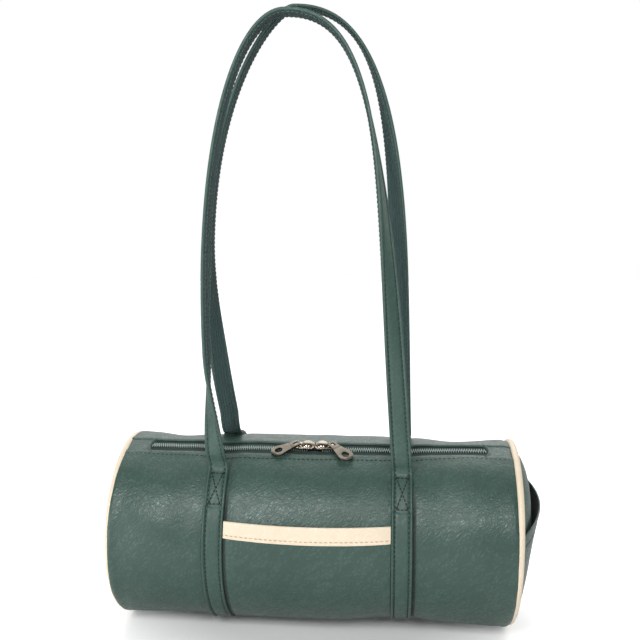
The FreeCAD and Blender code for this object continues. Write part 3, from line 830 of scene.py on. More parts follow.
# Finishes: the colours first, then the scales of the grain or weave, its strength and the roughness, and for
# the green leather the places of painted shade beside the bands
# Places of the painted shade: just past the right side of each band
PAINTED_SHADE_PLACES = [band_place(side) + STRAP_WIDTH / 2 + PAINTED_SHADE_SETBACK for side in (-1, 1)]
GREEN_TONES = (0.033, 0.084, 0.065, 1), (0.044, 0.100, 0.080, 1), (0.009, 0.025, 0.019, 1)
STRAP_TONES = (0.035, 0.086, 0.068, 1), (0.046, 0.100, 0.082, 1), (0.016, 0.042, 0.033, 1)
CREAM_TONES = (0.79, 0.68, 0.52, 1), (0.84, 0.74, 0.59, 1), (0.70, 0.57, 0.42, 1)
GREEN = leather("green_leather", *GREEN_TONES, 620.0, 150.0, 1.0, (0.31, 0.39), PAINTED_SHADE_PLACES)
STRAP_GREEN = leather("strap_leather", *STRAP_TONES, 760.0, 150.0, 0.4, (0.38, 0.48))
CREAM = leather("cream_leather", *CREAM_TONES, 800.0, 120.0, 0.25, (0.42, 0.52))
WEBBING = cloth("strap_webbing", (0.052, 0.112, 0.105, 1), (0.006, 0.016, 0.016, 1), 560.0, 16.0, 1.0)
TAPE = cloth("zip_tape", (0.030, 0.060, 0.052, 1), (0.012, 0.026, 0.022, 1), 150.0, 18.0, 0.5)
LINING = cloth("black_lining", (0.012, 0.012, 0.013, 1), (0.004, 0.004, 0.004, 1), 420.0, 420.0, 0.3)
NYLON = thread("coil_nylon", (0.420, 0.520, 0.490, 1), (0.240, 0.320, 0.300, 1), 0.35)
PALE_THREAD = thread("pale_thread", (0.080, 0.130, 0.125, 1), (0.050, 0.085, 0.082, 1))
GREEN_THREAD = thread("green_thread", (0.008, 0.019, 0.016, 1), (0.005, 0.012, 0.010, 1))
CREAM_THREAD = thread("cream_thread", (0.60, 0.45, 0.31, 1), (0.48, 0.35, 0.23, 1))
NICKEL = metal("nickel", (0.42, 0.37, 0.30, 1), (0.32, 0.28, 0.225, 1), (0.12, 0.24))
PULL_NICKEL = metal("brushed_nickel", (0.165, 0.145, 0.117, 1), (0.125, 0.108, 0.086, 1), (0.14, 0.28))


# Stitching


def stitch_shape():
    """One low stitch, lying along X."""
    deselect()
    bpy.ops.mesh.primitive_uv_sphere_add(segments=6, ring_count=5, radius=1.0, rotation=(0, math.pi / 2, 0))
    stitch = bpy.context.object
    bpy.ops.object.transform_apply(rotation=True)
    points = [vertex.co.copy() for vertex in stitch.data.vertices]
    faces = [tuple(face.vertices) for face in stitch.data.polygons]
    bpy.data.meshes.remove(stitch.data)
    return points, faces


STITCH_POINTS, STITCH_FACES = stitch_shape()


def copies_piece(name, places):
    """One mesh of copies of the stitch; a place is (centre, three half axes)."""
    points, faces = [], []
    for centre, along, across, up in places:
        base = len(points)
        points += [centre + along * p.x + across * p.y + up * p.z for p in STITCH_POINTS]
        faces += [tuple(base + index for index in face) for face in STITCH_FACES]
    mesh = bpy.data.meshes.new(name)
    mesh.from_pydata(points, [], faces)
    piece = bpy.data.objects.new(name, mesh)
    bpy.context.scene.collection.objects.link(piece)
    with edit_mode(piece):
        bpy.ops.mesh.normals_make_consistent(inside=False)
    smooth_shade(piece, 80)
    return piece


def stitches(row, pitch=STITCH_PITCH, length=STITCH_LENGTH, radius=THREAD_RADIUS):
    """Places of stitches along a row of (point, normal)."""
    places, travelled, due = [], 0.0, pitch / 2
    for (start, normal), (end, _) in zip(row, row[1:]):
        step = (end - start).length
        while step > 0 and travelled + step >= due:
            along = (end - start).normalized()
            across = normal.cross(along).normalized()
            centre = start + along * (due - travelled)
            half = along * (length / 2)
            places.append((centre, half, across * radius, normal.normalized() * radius))
            due += pitch
        travelled += step
    return places


def barrel_row(turns, places, lift):
    """A row on the barrel through pairs of turn and place."""
    return [(on_barrel(turn, x, lift), outward(turn)) for turn, x in zip(turns, places)]


def steps(start, end, count):
    return [start + (end - start) * index / count for index in range(count + 1)]


# The barrel


def lip_lift(distance):
    """The turned edge beside the zip stands up."""
    return LIP_RISE * smooth(LIP_FALL - distance / LIP_WIDTH)


def panel_row(share):
    """Turn and lift of one row of the body panel, from the front lip round to the back lip."""
    mirrored = share > 0.5
    near = 1 - share if mirrored else share
    if near < LIP_SHARE:
        roll = LIP_ROLL * (1 - near / LIP_SHARE)
        distance = -LIP_ROUND * math.sin(roll)
        lift = LIP_RISE - LIP_ROUND * (1 - math.cos(roll))
    else:
        half_way = math.pi * BARREL_RADIUS * (1 - WINDOW_TURN / 180)
        distance = half_way * (near - LIP_SHARE) / (0.5 - LIP_SHARE)
        lift = lip_lift(distance)
    turn = WINDOW_TURN + distance * TURN_OF_METRE
    return ZIP_TURN + (360 - turn if mirrored else turn), lift


def body_panel():
    def place(s, t):
        turn, lift = panel_row(s)
        left, right = panel_edge(-1, turn), panel_edge(1, turn)
        x = -left + (left + right) * t
        return on_barrel(with_zip(turn, x), x, lift)

    piece = sheet_piece("body_leather", 260, 150, place, LEATHER_WALL + FOAM_WALL)
    wear(piece, GREEN, "bag", "green_leather", "body_panel", "body_interlining")


def body_lining():
    mouth = LINING_MOUTH * TURN_OF_METRE
    depth = LEATHER_WALL + FOAM_WALL + LINING_GAP

    def place(s, t):
        turn = ZIP_TURN + mouth + (360 - 2 * mouth) * s
        x = PANEL_HALF * LINING_REACH * (2 * t - 1)
        return on_barrel(with_zip(turn, x), x, -depth)

    piece = sheet_piece("body_inner_cloth", 120, 60, place, LINING_WALL)
    wear(piece, LINING, "bag", "lining_fabric", "body_lining")


def topstitch_setback(x):
    """The row of stitches closes in on the zip at both ends."""
    start, length = TOPSTITCH_CLOSING
    return TOPSTITCH_SETBACK + (TOPSTITCH_NEAR - TOPSTITCH_SETBACK) * smooth((abs(x) - start) / length)


def zip_topstitch():
    places = steps(-PANEL_HALF, PANEL_HALF - TOPSTITCH_END, 140)
    turns = [zip_turn(x) + WINDOW_TURN + topstitch_setback(x) * TURN_OF_METRE for x in places]
    piece = copies_piece("front_zip_topstitch", stitches(barrel_row(turns, places, TOPSTITCH_LIFT)))
    wear(piece, GREEN_THREAD, "bag", "green_leather")


# The ends


def end_face(side, radius, turn):
    """The puffed face of an end, at a distance from its centre: the right one is fuller at its top."""
    share = min(1.0, radius / END_RIM)
    above, below = END_ROUND[side]
    fullness = below + (above - below) * smooth(math.cos(math.radians(turn)) + END_FULL_REACH)
    puff = END_PUFF[side] * (1 - share**fullness)
    lean = end_lean(turn, PANEL_HALF) * share if side > 0 else 0.0
    spot = outward(turn) * radius / END_RIPPLE_SIZE + ALONG * (side * END_RIPPLE_START)
    ripple = END_RIPPLE * (1 - share) * noise.noise(spot)
    return Vector((side * (END_EDGE + puff + ripple) + lean, 0, AXIS_HEIGHT)) + outward(turn) * radius


def end_panels():
    for side_name, side in SIDES:
        inside = (side * (END_EDGE - END_INSIDE), 0.0, AXIS_HEIGHT)

        def place(s, t, depth=0.0):
            rim = 1 - (1 - s) ** END_CROWDING
            return end_face(side, END_RIM * rim, 360 * t) - ALONG * (side * depth)

        wall = LEATHER_WALL + FOAM_WALL
        piece = sheet_piece(f"{side_name}_end_leather", 40, 128, place, wall, inside, joined=True)
        solids = (f"{side_name}_end_panel", f"{side_name}_end_interlining")
        wear(piece, GREEN, "bag", "green_leather", *solids)

        def place_lining(s, t):
            return place(LINING_SHARE * s, t, wall + END_LINING_GAP)

        lining = sheet_piece(f"{side_name}_end_cloth", 20, 64, place_lining, LINING_WALL, inside, joined=True)
        wear(lining, LINING, "bag", "lining_fabric", f"{side_name}_end_lining")


def ring_stations(side):
    """Stations round the piping's ring, which sinks a little where the leather covers it."""
    stations = []
    for turn in steps(0, 360, PIPING_STEPS):
        x = side * PIPING_PLACE
        lean = end_lean(turn, PANEL_HALF) if side > 0 else 0.0
        spot = outward(turn) * PIPING_WAVE_TURNS + ALONG * (side * PIPING_WAVE_START)
        wave = PIPING_WAVE * noise.noise(spot)
        sink = EDGE_COVER * edge_cover(side, turn)
        point = Vector((x + lean, 0, AXIS_HEIGHT)) + outward(turn) * (PIPING_RING + wave - sink)
        stations.append((point, ALONG, outward(turn)))
    return stations


def piping():
    angles = [2 * math.pi * index / PIPING_SIDES for index in range(PIPING_SIDES)]
    loop = [(PIPING_RADIUS * math.cos(angle), PIPING_RADIUS * math.sin(angle)) for angle in angles]
    for side_name, side in SIDES:
        piece = tube_piece(f"{side_name}_cream_piping", ring_stations(side), loop, ring=True)
        wear(piece, CREAM, "bag", "cream_leather", f"{side_name}_piping", f"{side_name}_piping_cord")


# The zip

# Each half splits at the bag's middle, a piece on each side, one for each slider
ZIP_QUARTERS = [(name, sign, *side) for name, sign in (("front", 1), ("back", -1)) for side in SIDES]


def zip_tapes():
    for name, sign, side_name, side in ZIP_QUARTERS:

        def place(s, t):
            x = side * PANEL_HALF * TAPE_REACH * s
            turn = zip_turn(x) + sign * (TAPE_START + TAPE_WIDTH * t) * TURN_OF_METRE
            return on_barrel(turn, x, TAPE_LIFT)

        piece = sheet_piece(f"{name}_tape_{side_name}", 80, 14, place, TAPE_WALL)
        wear(piece, TAPE, "bag", "zip_tape", f"zip_tape_{name}")
        open_with(piece, sign, side_name, TAPE_ANCHOR)


def open_with(piece, sign, side_name, anchor_distance):
    """Gives the piece a mesh of its own; the point at the window's edge where the cloth would be anchored is
    worked out but not used.
    """
    away = forward(ZIP_TURN) * sign
    anchor = on_barrel(ZIP_TURN, 0.0) + away * anchor_distance
    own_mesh(piece)


def zip_coils():
    """Nylon turns that lock in the middle, with a parting under the two sliders."""
    for name, sign, side_name, side in ZIP_QUARTERS:
        places = []
        count = int((ZIP_HALF - COIL_PARTING) / TOOTH_PITCH)
        for index in range(count):
            x = side * (COIL_PARTING + TOOTH_PITCH * (index + (0.5 if sign > 0 else 0.0)))
            centre = (TOOTH_LENGTH / 2 - TOOTH_LOCK) * sign
            turn = zip_turn(x) + centre * TURN_OF_METRE
            across = forward(turn) * (TOOTH_LENGTH / 2)
            up = outward(turn) * TOOTH_RADIUS
            places.append((on_barrel(turn, x, COIL_LIFT), across, ALONG * TOOTH_WIDTH, up))
        piece = copies_piece(f"{name}_coil_{side_name}", places)
        wear(piece, NYLON, "bag", "zip_coil", f"zip_coil_{name}")
        open_with(piece, sign, side_name, COIL_ANCHOR)


def zip_end_tabs():
    """Leather tabs that close the window between the zip's ends and the piping."""
    for side_name, side in SIDES:

        def place(s, t):
            across = (2 * t - 1) * (WINDOW_TURN + TAB_OVERLAP)
            start = ZIP_HALF - TAB_START - TAB_BOW * (2 * t - 1) ** 2
            reach = panel_edge(side, ZIP_TURN + across)
            x = side * (start + (reach - start) * s)
            edge = TAB_ROLL * bell(s - TAB_ROLL_PLACE, TAB_ROLL_SPREAD) - TAB_TUCK * bell(s, TAB_TUCK_SPREAD)
            hollow = TAB_HOLLOW * math.cos(math.radians(90 * (2 * t - 1)))
            return on_barrel(zip_turn(x) + across, x, -TAB_SEAT - hollow + edge)

        piece = sheet_piece(f"{side_name}_zip_tab", 44, 24, place, LEATHER_WALL)
        wear(piece, GREEN, "bag", "green_leather", f"zip_end_tab_{side_name}")


# Bands and handles

# Half of a strap's section in millimetres: a flat middle, a stitched groove and a rolled edge
STRAP_HALF = (
    ((0.0, 2.75), (1.5, 2.75), (3.0, 2.66), (4.0, 2.40), (4.6, 1.95), (5.0, 1.75), (5.35, 1.90))
    + ((5.7, 2.45), (6.1, 2.88), (6.5, 3.02), (7.0, 2.88), (7.35, 2.45), (7.5, 1.75), (7.45, 1.00))
    + ((7.2, 0.35), (6.6, 0.05), (3.0, 0.0))
)
MILLIMETRE = 0.001


def strap_loop(bottom=0.0, top=1.0):
    """The whole section in metres; heights run from bottom to top times the band's."""
    right = [(w * MILLIMETRE, (bottom + (top - bottom) * h) * MILLIMETRE) for w, h in STRAP_HALF]
    return right + [(-w, h) for w, h in reversed(right[1:])]


def band_thickness(turn):
    """The band thins out under the sewn end of each handle."""
    from_front = turn - (FRONT_EXIT + BOX_TURN)
    from_back = (360 + BACK_EXIT - BOX_TURN) - turn
    return BAND_THIN + (1 - BAND_THIN) * smooth(min(from_front, from_back) / BAND_TAPER + 1.0)


def band_point(turn, x, width, height):
    """A point of a band; its sole is flat on the floor."""
    point = on_barrel(turn, x + width, BAND_SEAT + height * band_thickness(turn))
    point.z = max(point.z, 0.0)
    return point


def bands():
    loop = strap_loop()
    turns = steps(FRONT_EXIT + BAND_SETBACK, 360 + BACK_EXIT - BAND_SETBACK, 240)
    sewn_turns = steps(FRONT_EXIT + BOX_TURN + BAND_SETBACK, 360 + BACK_EXIT - BOX_TURN - BAND_SETBACK, 200)
    for side_name, side in SIDES:
        x = band_place(side)

        def place_on(turn, width, height):
            return band_point(turn, x, width, height)

        piece = loop_piece(f"{side_name}_band_leather", turns, loop, place_on)
        wear(piece, STRAP_GREEN, "bag", "green_leather", f"{side_name}_band_face", f"{side_name}_band_core")
        sewn = []
        for width in (-STITCH_LINE, STITCH_LINE):
            row = [(band_point(turn, x, width, BAND_GROOVE), outward(turn)) for turn in sewn_turns]
            sewn += stitches(row)
        row_piece = copies_piece(f"{side_name}_band_stitching", sewn)
        wear(row_piece, GREEN_THREAD, "bag", "green_leather")


def curve_point(corners, share):
    rest = 1 - share
    weights = (rest**3, 3 * rest**2 * share, 3 * rest * share**2, share**3)
    return sum((corner * weight for corner, weight in zip(corners, weights)), Vector())


def handle_foot(handle):
    """Where a handle folds, at the middle of its hinge line."""
    return Vector(JOINTS[handle.body + "_swing"]["pos_m"])


def leg_curve(handle, side):
    """Control corners of one leg, from its foot to the crown."""
    foot = handle_foot(handle)
    lean = (handle.crown.y - foot.y) / (handle.crown.z - foot.z)
    leg = handle.left if side < 0 else handle.right
    top = handle.crown.z - foot.z

    def place(x, height):
        return Vector((x, foot.y + lean * height, foot.z + height))

    return [
        place(band_place(side), 0.0),
        place(side * (BAND_PLACE + leg.splay), leg.rise),
        place(handle.crown.x + side * leg.reach, top),
        handle.crown.copy(),
    ]


def tail_lift(share):
    """Height of a handle's sewn end, which sinks into the band below its box of stitches."""
    low, high = TAIL_LIFT
    return low + (high - low) * max(0.0, share) - TAIL_SINK * smooth(-share / TAIL_OVERRUN)


def leg_points(handle, side):
    """(point, twist, face when flat on the bag) up one leg, from its sewn end to the crown."""
    points = []
    for share in steps(-TAIL_OVERRUN, 1.0, TAIL_STEPS):
        turn = handle.exit_turn + handle.outward * BOX_TURN * (1 - share)
        points.append((on_barrel(turn, band_place(side), tail_lift(share)), 0.0, outward(turn)))
    corners = leg_curve(handle, side)
    plane = ALONG.cross(handle.crown - handle_foot(handle)).normalized()
    plane.x = 0
    flat = plane.normalized() * handle.outward
    leg = handle.left if side < 0 else handle.right
    for index in range(1, HANDLE_STEPS + 1):
        share = (index / HANDLE_STEPS) ** LEG_CROWDING
        point = curve_point(corners, share)
        if point.z - corners[0].z > FOOT_RISE:
            points.append((point, smooth(share / leg.twist) ** handle.ease, flat))
    return points


def bend_corner(points):
    """Rounds the corner between the sewn end and the free leg."""
    sewn, free = points[TAIL_STEPS], points[TAIL_STEPS + 1]
    way_in = (sewn[0] - points[TAIL_STEPS - 1][0]).normalized()
    corner = sewn[0] + way_in * ((free[0] - sewn[0]).length * FOOT_BEND)
    between = []
    for share in (0.2, 0.4, 0.6, 0.8):
        rest = 1 - share
        point = sewn[0] * rest * rest + corner * (2 * rest * share) + free[0] * share * share
        between.append((point, free[1] * share, (sewn[2] * rest + free[2] * share).normalized()))
    return points[: TAIL_STEPS + 1] + between + points[TAIL_STEPS + 1 :]


def handle_stations(handle):
    """Stations of (point, side, face) from the left sewn end over the crown to the right sewn end."""
    left = bend_corner(leg_points(handle, -1))
    right = bend_corner(leg_points(handle, 1))
    route = left + right[-2::-1]
    stations = []
    last = len(route) - 1
    for index, (point, twist, flat) in enumerate(route):
        along = (route[min(index + 1, last)][0] - route[max(index - 1, 0)][0]).normalized()
        loop_out = ALONG.cross(handle.crown - handle_foot(handle)).normalized().cross(along)
        angle = math.pi / 2 * twist
        face = flat * math.cos(angle) + loop_out * math.sin(angle)
        side = along.cross(face).normalized()
        stations.append((point, side, side.cross(along).normalized()))
    return stations


def box_lines(handle, side):
    """Stitches of the box and cross that hold a handle's end."""

    def spot(width, share):
        turn = handle.exit_turn + handle.outward * BOX_TURN * (1 - share)
        lift = tail_lift(share) + FACE_MIDDLE
        return on_barrel(turn, band_place(side) + width, lift), outward(turn)

    low, high = BOX_SHARES
    foot_left, foot_right, top_left, top_right = [(w, s) for s in (low, high) for w in (-BOX_HALF, BOX_HALF)]
    lines = ((foot_left, foot_right), (top_left, top_right), (foot_left, top_right), (foot_right, top_left))
    sewn = []
    for (width, share), (end_width, end_share) in lines:
        widths, shares = steps(width, end_width, 24), steps(share, end_share, 24)
        sewn += stitches([spot(w, s) for w, s in zip(widths, shares)], *BOX_STITCH)
    return sewn


def webbing_loop():
    """Section of the webbing: ribs on the side that faces the other handle."""
    count = 4 * WEBBING_RIBS
    ribs = []
    for index in range(count + 1):
        rise = abs(math.sin(math.pi * index / 4))
        height = WEBBING_VALLEY + (WEBBING_SOLE - WEBBING_VALLEY) * rise
        ribs.append((WEBBING_HALF * (1 - 2 * index / count), height))
    edge = [(WEBBING_EDGE, height) for height in WEBBING_SIDES]
    return edge + ribs + [(-width, height) for width, height in reversed(edge)]


def strap_rows(stations, width, height, radius=THREAD_RADIUS):
    """Stitches near both edges of a strap, at a height over its line."""
    sewn = []
    for offset in (-width, width):
        row = [(point + side * offset + face * height, face) for point, side, face in stations]
        sewn += stitches(row, radius=radius)
    return sewn


def handles():
    """Leather faces sewn to webbing, each turning up from the bag at its foot."""
    leather_loop = strap_loop(bottom=FACE_BOTTOM, top=FACE_TOP)
    ribbed = webbing_loop()
    for name, handle in HANDLES.items():
        stations = handle_stations(handle)
        foot = handle_foot(handle)
        free = stations[TAIL_STEPS:-TAIL_STEPS]
        face = tube_piece(f"{name}_strap_leather", stations, leather_loop)
        wear(face, STRAP_GREEN, None, "green_leather", f"{name}_handle_face")
        webbing = tube_piece(f"{name}_strap_webbing", free, ribbed)
        wear(webbing, WEBBING, None, "green_webbing", f"{name}_handle_webbing")
        sewn = strap_rows(stations[2:-2], STITCH_LINE, GROOVE_HEIGHT)
        rows = copies_piece(f"{name}_strap_stitching", sewn)
        wear(rows, GREEN_THREAD, None, "green_leather")
        under_rows = strap_rows(free, WEBBING_STITCH, WEBBING_SOLE, WEBBING_THREAD)
        under = copies_piece(f"{name}_webbing_stitching", under_rows)
        wear(under, PALE_THREAD, None, "green_webbing")
        for piece in (face, webbing, rows, under):
            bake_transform(piece)
        boxes = copies_piece(f"{name}_box_stitching", box_lines(handle, -1) + box_lines(handle, 1))
        wear(boxes, GREEN_THREAD, "bag", "green_leather")


# The front pocket


def pocket_share(x):
    """Place between the pocket's sides, from -1 to 1."""
    return (x - STRAP_DRIFT) / POCKET_HALF


def pocket_mouth(x):
    """Turn of the pocket's top edge, which sags between the bands."""
    return POCKET_TOP + POCKET_MOUTH_SAG * (1 - pocket_share(x) ** 2)


def pocket_lift(turn, x):
    """The pocket stands off the barrel most at the middle of its mouth."""
    slack = POCKET_SLACK * (1 - pocket_share(x) ** 2) * bell(turn - POCKET_TOP, POCKET_SLACK_SPREAD)
    past, length = POCKET_CLOSING
    return (POCKET_LIFT + slack) * smooth((POCKET_BOTTOM + past - turn) / length)


def front_pocket():
    def place(s, t):
        x = STRAP_DRIFT + POCKET_HALF * (2 * t - 1)
        turn = pocket_mouth(x) + (POCKET_BOTTOM - pocket_mouth(x)) * s
        point = on_barrel(turn, x, pocket_lift(turn, x))
        point.z = max(point.z, POCKET_CLEARANCE)
        return point

    panel = sheet_piece("front_pocket_leather", 90, 90, place, POCKET_WALL)
    wear(panel, GREEN, "bag", "green_leather", "front_pocket_panel")

    def place_lining(s, t):
        x = STRAP_DRIFT + (POCKET_HALF - POCKET_SIDE) * (2 * t - 1)
        top = pocket_mouth(x) + POCKET_LINING_TOP
        turn = top + (POCKET_BOTTOM - POCKET_LINING_FOOT - top) * s
        return on_barrel(turn, x, POCKET_LINING_LIFT * pocket_lift(turn, x))

    lining = sheet_piece("front_pocket_cloth", 50, 50, place_lining, POCKET_LINING_WALL)
    wear(lining, LINING, "bag", "lining_fabric", "front_pocket_lining")


def binding_profile(travel):
    """Distance below the mouth and height over the panel's middle, round the folded edge."""
    round_end = BINDING_TUCK + math.pi * BINDING_RADIUS
    if travel < BINDING_TUCK:
        return BINDING_TUCK - travel, -BINDING_RADIUS
    if travel < round_end:
        angle = (travel - BINDING_TUCK) / BINDING_RADIUS
        return -BINDING_RADIUS * math.sin(angle), -BINDING_RADIUS * math.cos(angle)
    distance = travel - round_end
    edge = BINDING_EDGE * bell(distance - BINDING_WIDTH, BINDING_EDGE_SPREAD)
    groove = BINDING_GROOVE * bell(distance - BINDING_STITCH, BINDING_GROOVE_SPREAD)
    return distance, BINDING_RADIUS - groove - edge


def binding_point(distance, height, x):
    turn = pocket_mouth(x) + distance * TURN_OF_METRE
    return on_barrel(turn, x, pocket_lift(turn, x) - POCKET_WALL / 2 + height)


def pocket_binding():
    whole = BINDING_TUCK + math.pi * BINDING_RADIUS + BINDING_WIDTH

    def place(s, t):
        distance, height = binding_profile(whole * s)
        return binding_point(distance, height, STRAP_DRIFT + (POCKET_HALF - BINDING_SIDE) * (2 * t - 1))

    piece = sheet_piece("front_pocket_edging", 64, 90, place, BINDING_WALL)
    wear(piece, CREAM, "bag", "cream_leather", "front_pocket_binding")
    row = []
    for x in steps(STRAP_DRIFT - POCKET_HALF + POCKET_SIDE, STRAP_DRIFT + POCKET_HALF - POCKET_SIDE, 60):
        point = binding_point(BINDING_STITCH, BINDING_RADIUS - BINDING_THREAD_SINK, x)
        row.append((point, outward(pocket_mouth(x))))
    sewn = copies_piece("front_pocket_stitching", stitches(row, *BINDING_SEWN))
    wear(sewn, CREAM_THREAD, "bag", "cream_leather")


# The end pocket


def end_spot(across, height):
    """The point of the right end's face at a place in the rolled pocket's own frame."""
    turn = END_POCKET_ROLL + math.degrees(math.atan2(across, height))
    return end_face(1, math.hypot(across, height), turn)


def end_pocket_point(across_share, height_share, inset):
    """A point of the pocket, which stands off the end most at its mouth."""
    height = END_POCKET_FOOT + (END_POCKET_MOUTH - END_POCKET_FOOT) * height_share
    half = math.sqrt(END_POCKET_RIM**2 - height**2)
    across = half * across_share
    face = end_spot(across, height)
    edge = end_spot(half, height)
    middle = end_spot(0.0, height)
    gape = END_POCKET_GAPE * max(0.0, height_share) ** END_POCKET_FLARE
    bow = edge.x + (middle.x + gape - edge.x) * (1 - across_share**2)
    below_hem = END_POCKET_MOUTH - height - END_POCKET_HEM
    hem = END_POCKET_HEM_DEPTH * bell(below_hem, END_POCKET_HEM_SPREAD)
    face.x = max(face.x + END_POCKET_WALL + END_POCKET_SEAT, bow + END_POCKET_STAND) - hem - inset
    return face


def end_pocket():
    def place(s, t):
        return end_pocket_point(2 * s - 1, t, 0.0)

    panel = sheet_piece("end_pocket_leather", 72, 60, place, END_POCKET_WALL, END_POCKET_INSIDE)
    bevel_edges(panel, END_POCKET_BEVEL, 3, 60)
    smooth_shade(panel)
    wear(panel, GREEN, "bag", "green_leather", "end_pocket_panel")
    width, depth = 2 * END_POCKET_RIM, END_POCKET_MOUTH - END_POCKET_FOOT

    def place_lining(s, t):
        """Down behind the pocket's leather, then up again on the end."""
        down = min(1.0, 2 * t)
        back = max(0.0, 2 * t - 1)
        share = LINING_SHARE - END_CLOTH_DOWN * down + END_CLOTH_UP * back
        point = end_pocket_point(LINING_SHARE * (2 * s - 1), share, END_POCKET_WALL + END_CLOTH_GAP)
        if back > 0:
            height = END_POCKET_FOOT + (END_POCKET_MOUTH - END_POCKET_FOOT) * share
            half = math.sqrt(END_POCKET_RIM**2 - height**2)
            point = end_spot(half * LINING_SHARE * (2 * s - 1), height) + ALONG * END_CLOTH_GAP
        return point

    lining = grid_piece("end_pocket_cloth", 60, 80, place_lining)
    apply_modifier(lining, "SOLIDIFY", thickness=END_CLOTH_WALL, offset=0)
    smooth_shade(lining)
    wear(lining, LINING, "bag", "lining_fabric", "end_pocket_lining")
    share = 1 - END_POCKET_HEM / depth
    sewn_across = steps(-END_POCKET_SEWN, END_POCKET_SEWN, 90)
    row = [(end_pocket_point(across, share, -END_POCKET_THREAD), ALONG) for across in sewn_across]
    sewn = copies_piece("end_pocket_stitching", stitches(row))
    wear(sewn, GREEN_THREAD, "bag", "green_leather")


# Sliders and pulls


@contextmanager
def chosen(piece, kind, test):
    """Edit mode with the vertices, edges or faces that pass a test selected."""
    pick(piece)
    bpy.ops.object.mode_set(mode="EDIT")
    bpy.ops.mesh.select_mode(type=kind)
    bpy.ops.mesh.select_all(action="DESELECT")
    bpy.ops.object.mode_set(mode="OBJECT")
    mesh = piece.data
    for item in {"VERT": mesh.vertices, "EDGE": mesh.edges, "FACE": mesh.polygons}[kind]:
        item.select = test(item)
    bpy.ops.object.mode_set(mode="EDIT")
    yield
    bpy.ops.mesh.select_mode(type="VERT")
    bpy.ops.object.mode_set(mode="OBJECT")


def box_piece(name, low, high):
    """A block between two corners, its place in its mesh."""
    low, high = Vector(low), Vector(high)
    deselect()
    bpy.ops.mesh.primitive_cube_add(size=1, location=(low + high) / 2, scale=high - low)
    bpy.ops.object.transform_apply(location=True, scale=True)
    return named(name)


def rod_piece(name, radius, length, place, turned=(0, 0, 0), vertices=40):
    deselect()
    shape = {"vertices": vertices, "radius": radius, "depth": length}
    bpy.ops.mesh.primitive_cylinder_add(location=place, rotation=turned, **shape)
    bpy.ops.object.transform_apply(location=True, rotation=True)
    return named(name)


def cut_with(piece, tool, operation="DIFFERENCE"):
    """Joins or cuts with a tool piece, which then goes."""
    apply_modifier(piece, "BOOLEAN", object=tool, operation=operation, solver="EXACT")
    bpy.data.meshes.remove(tool.data)


def slider_plate(name, low, high):
    """A plate with a wide rounded nose and a narrower tail."""
    nose, tail = SLIDER_MEETING / 2, SLIDER_MEETING / 2 + SLIDER_LENGTH
    plate = box_piece(name, (nose, -SLIDER_NOSE / 2, low), (tail, SLIDER_NOSE / 2, high))
    mesh = plate.data
    with chosen(plate, "VERT", lambda vertex: vertex.co.x > tail - 1e-5):
        bpy.ops.transform.resize(value=(1, SLIDER_TAIL / SLIDER_NOSE, 1))

    def upright(edge):
        start, end = (mesh.vertices[index].co for index in edge.vertices)
        return (start.xy - end.xy).length < 1e-6

    with chosen(plate, "EDGE", upright):
        bpy.ops.mesh.bevel(offset=SLIDER_CORNER, segments=6, affect="EDGES")
    return plate


def slider_piece(name):
    """Two plates on a neck; the upper one is domed."""
    neck_low, neck_high = SLIDER_BASE + SLIDER_PLATE, SLIDER_TOP - SLIDER_PLATE
    top = slider_plate(name, neck_high, SLIDER_TOP)
    deselect()
    centre = (SLIDER_MEETING / 2 + DOME_SETBACK, 0, SLIDER_TOP - DOME_SINK)
    bpy.ops.mesh.primitive_uv_sphere_add(segments=28, ring_count=16, location=centre, scale=SLIDER_DOME)
    bpy.ops.object.transform_apply(location=True, scale=True)
    dome = named("slider_dome")
    with edit_mode(dome):
        cut = (0, 0, SLIDER_TOP - DOME_ROOT)
        bpy.ops.mesh.bisect(plane_co=cut, plane_no=(0, 0, 1), use_fill=True, clear_inner=True)
    cut_with(top, dome, "UNION")
    base = slider_plate("slider_sole", SLIDER_BASE, neck_low)
    start = SLIDER_MEETING / 2 + NECK_SETBACK
    neck = box_piece(
        "slider_neck",
        (start, -NECK_WIDTH / 2, neck_low - NECK_ROOT),
        (start + NECK_LENGTH, NECK_WIDTH / 2, neck_high + NECK_ROOT),
    )
    pick(top)
    base.select_set(True)
    neck.select_set(True)
    bpy.ops.object.join()
    bevel_edges(top, SLIDER_BEVEL, 2, 40)
    smooth_shade(top, 45)
    return top


def crown_piece(name):
    """A wire arch, from one foot up and over to the other."""
    deselect()
    foot = (CROWN_RADIUS, 0, -CROWN_ROOT)
    bpy.ops.mesh.primitive_circle_add(vertices=14, radius=CROWN_WIRE, location=foot, fill_type="NGON")
    bpy.ops.object.transform_apply(location=True)
    piece = named(name)
    leg = CROWN_LEG + CROWN_ROOT
    with edit_mode(piece):
        bpy.ops.mesh.extrude_region_move(TRANSFORM_OT_translate={"value": (0, 0, leg)})
        bpy.ops.mesh.spin(steps=22, angle=math.pi, center=(0, 0, CROWN_LEG), axis=(0, -1, 0))
        bpy.ops.mesh.extrude_region_move(TRANSFORM_OT_translate={"value": (0, 0, -leg)})
        bpy.ops.mesh.select_all(action="SELECT")
        bpy.ops.mesh.remove_doubles(threshold=1e-6)
        bpy.ops.mesh.normals_make_consistent(inside=False)
    smooth_shade(piece)
    return piece


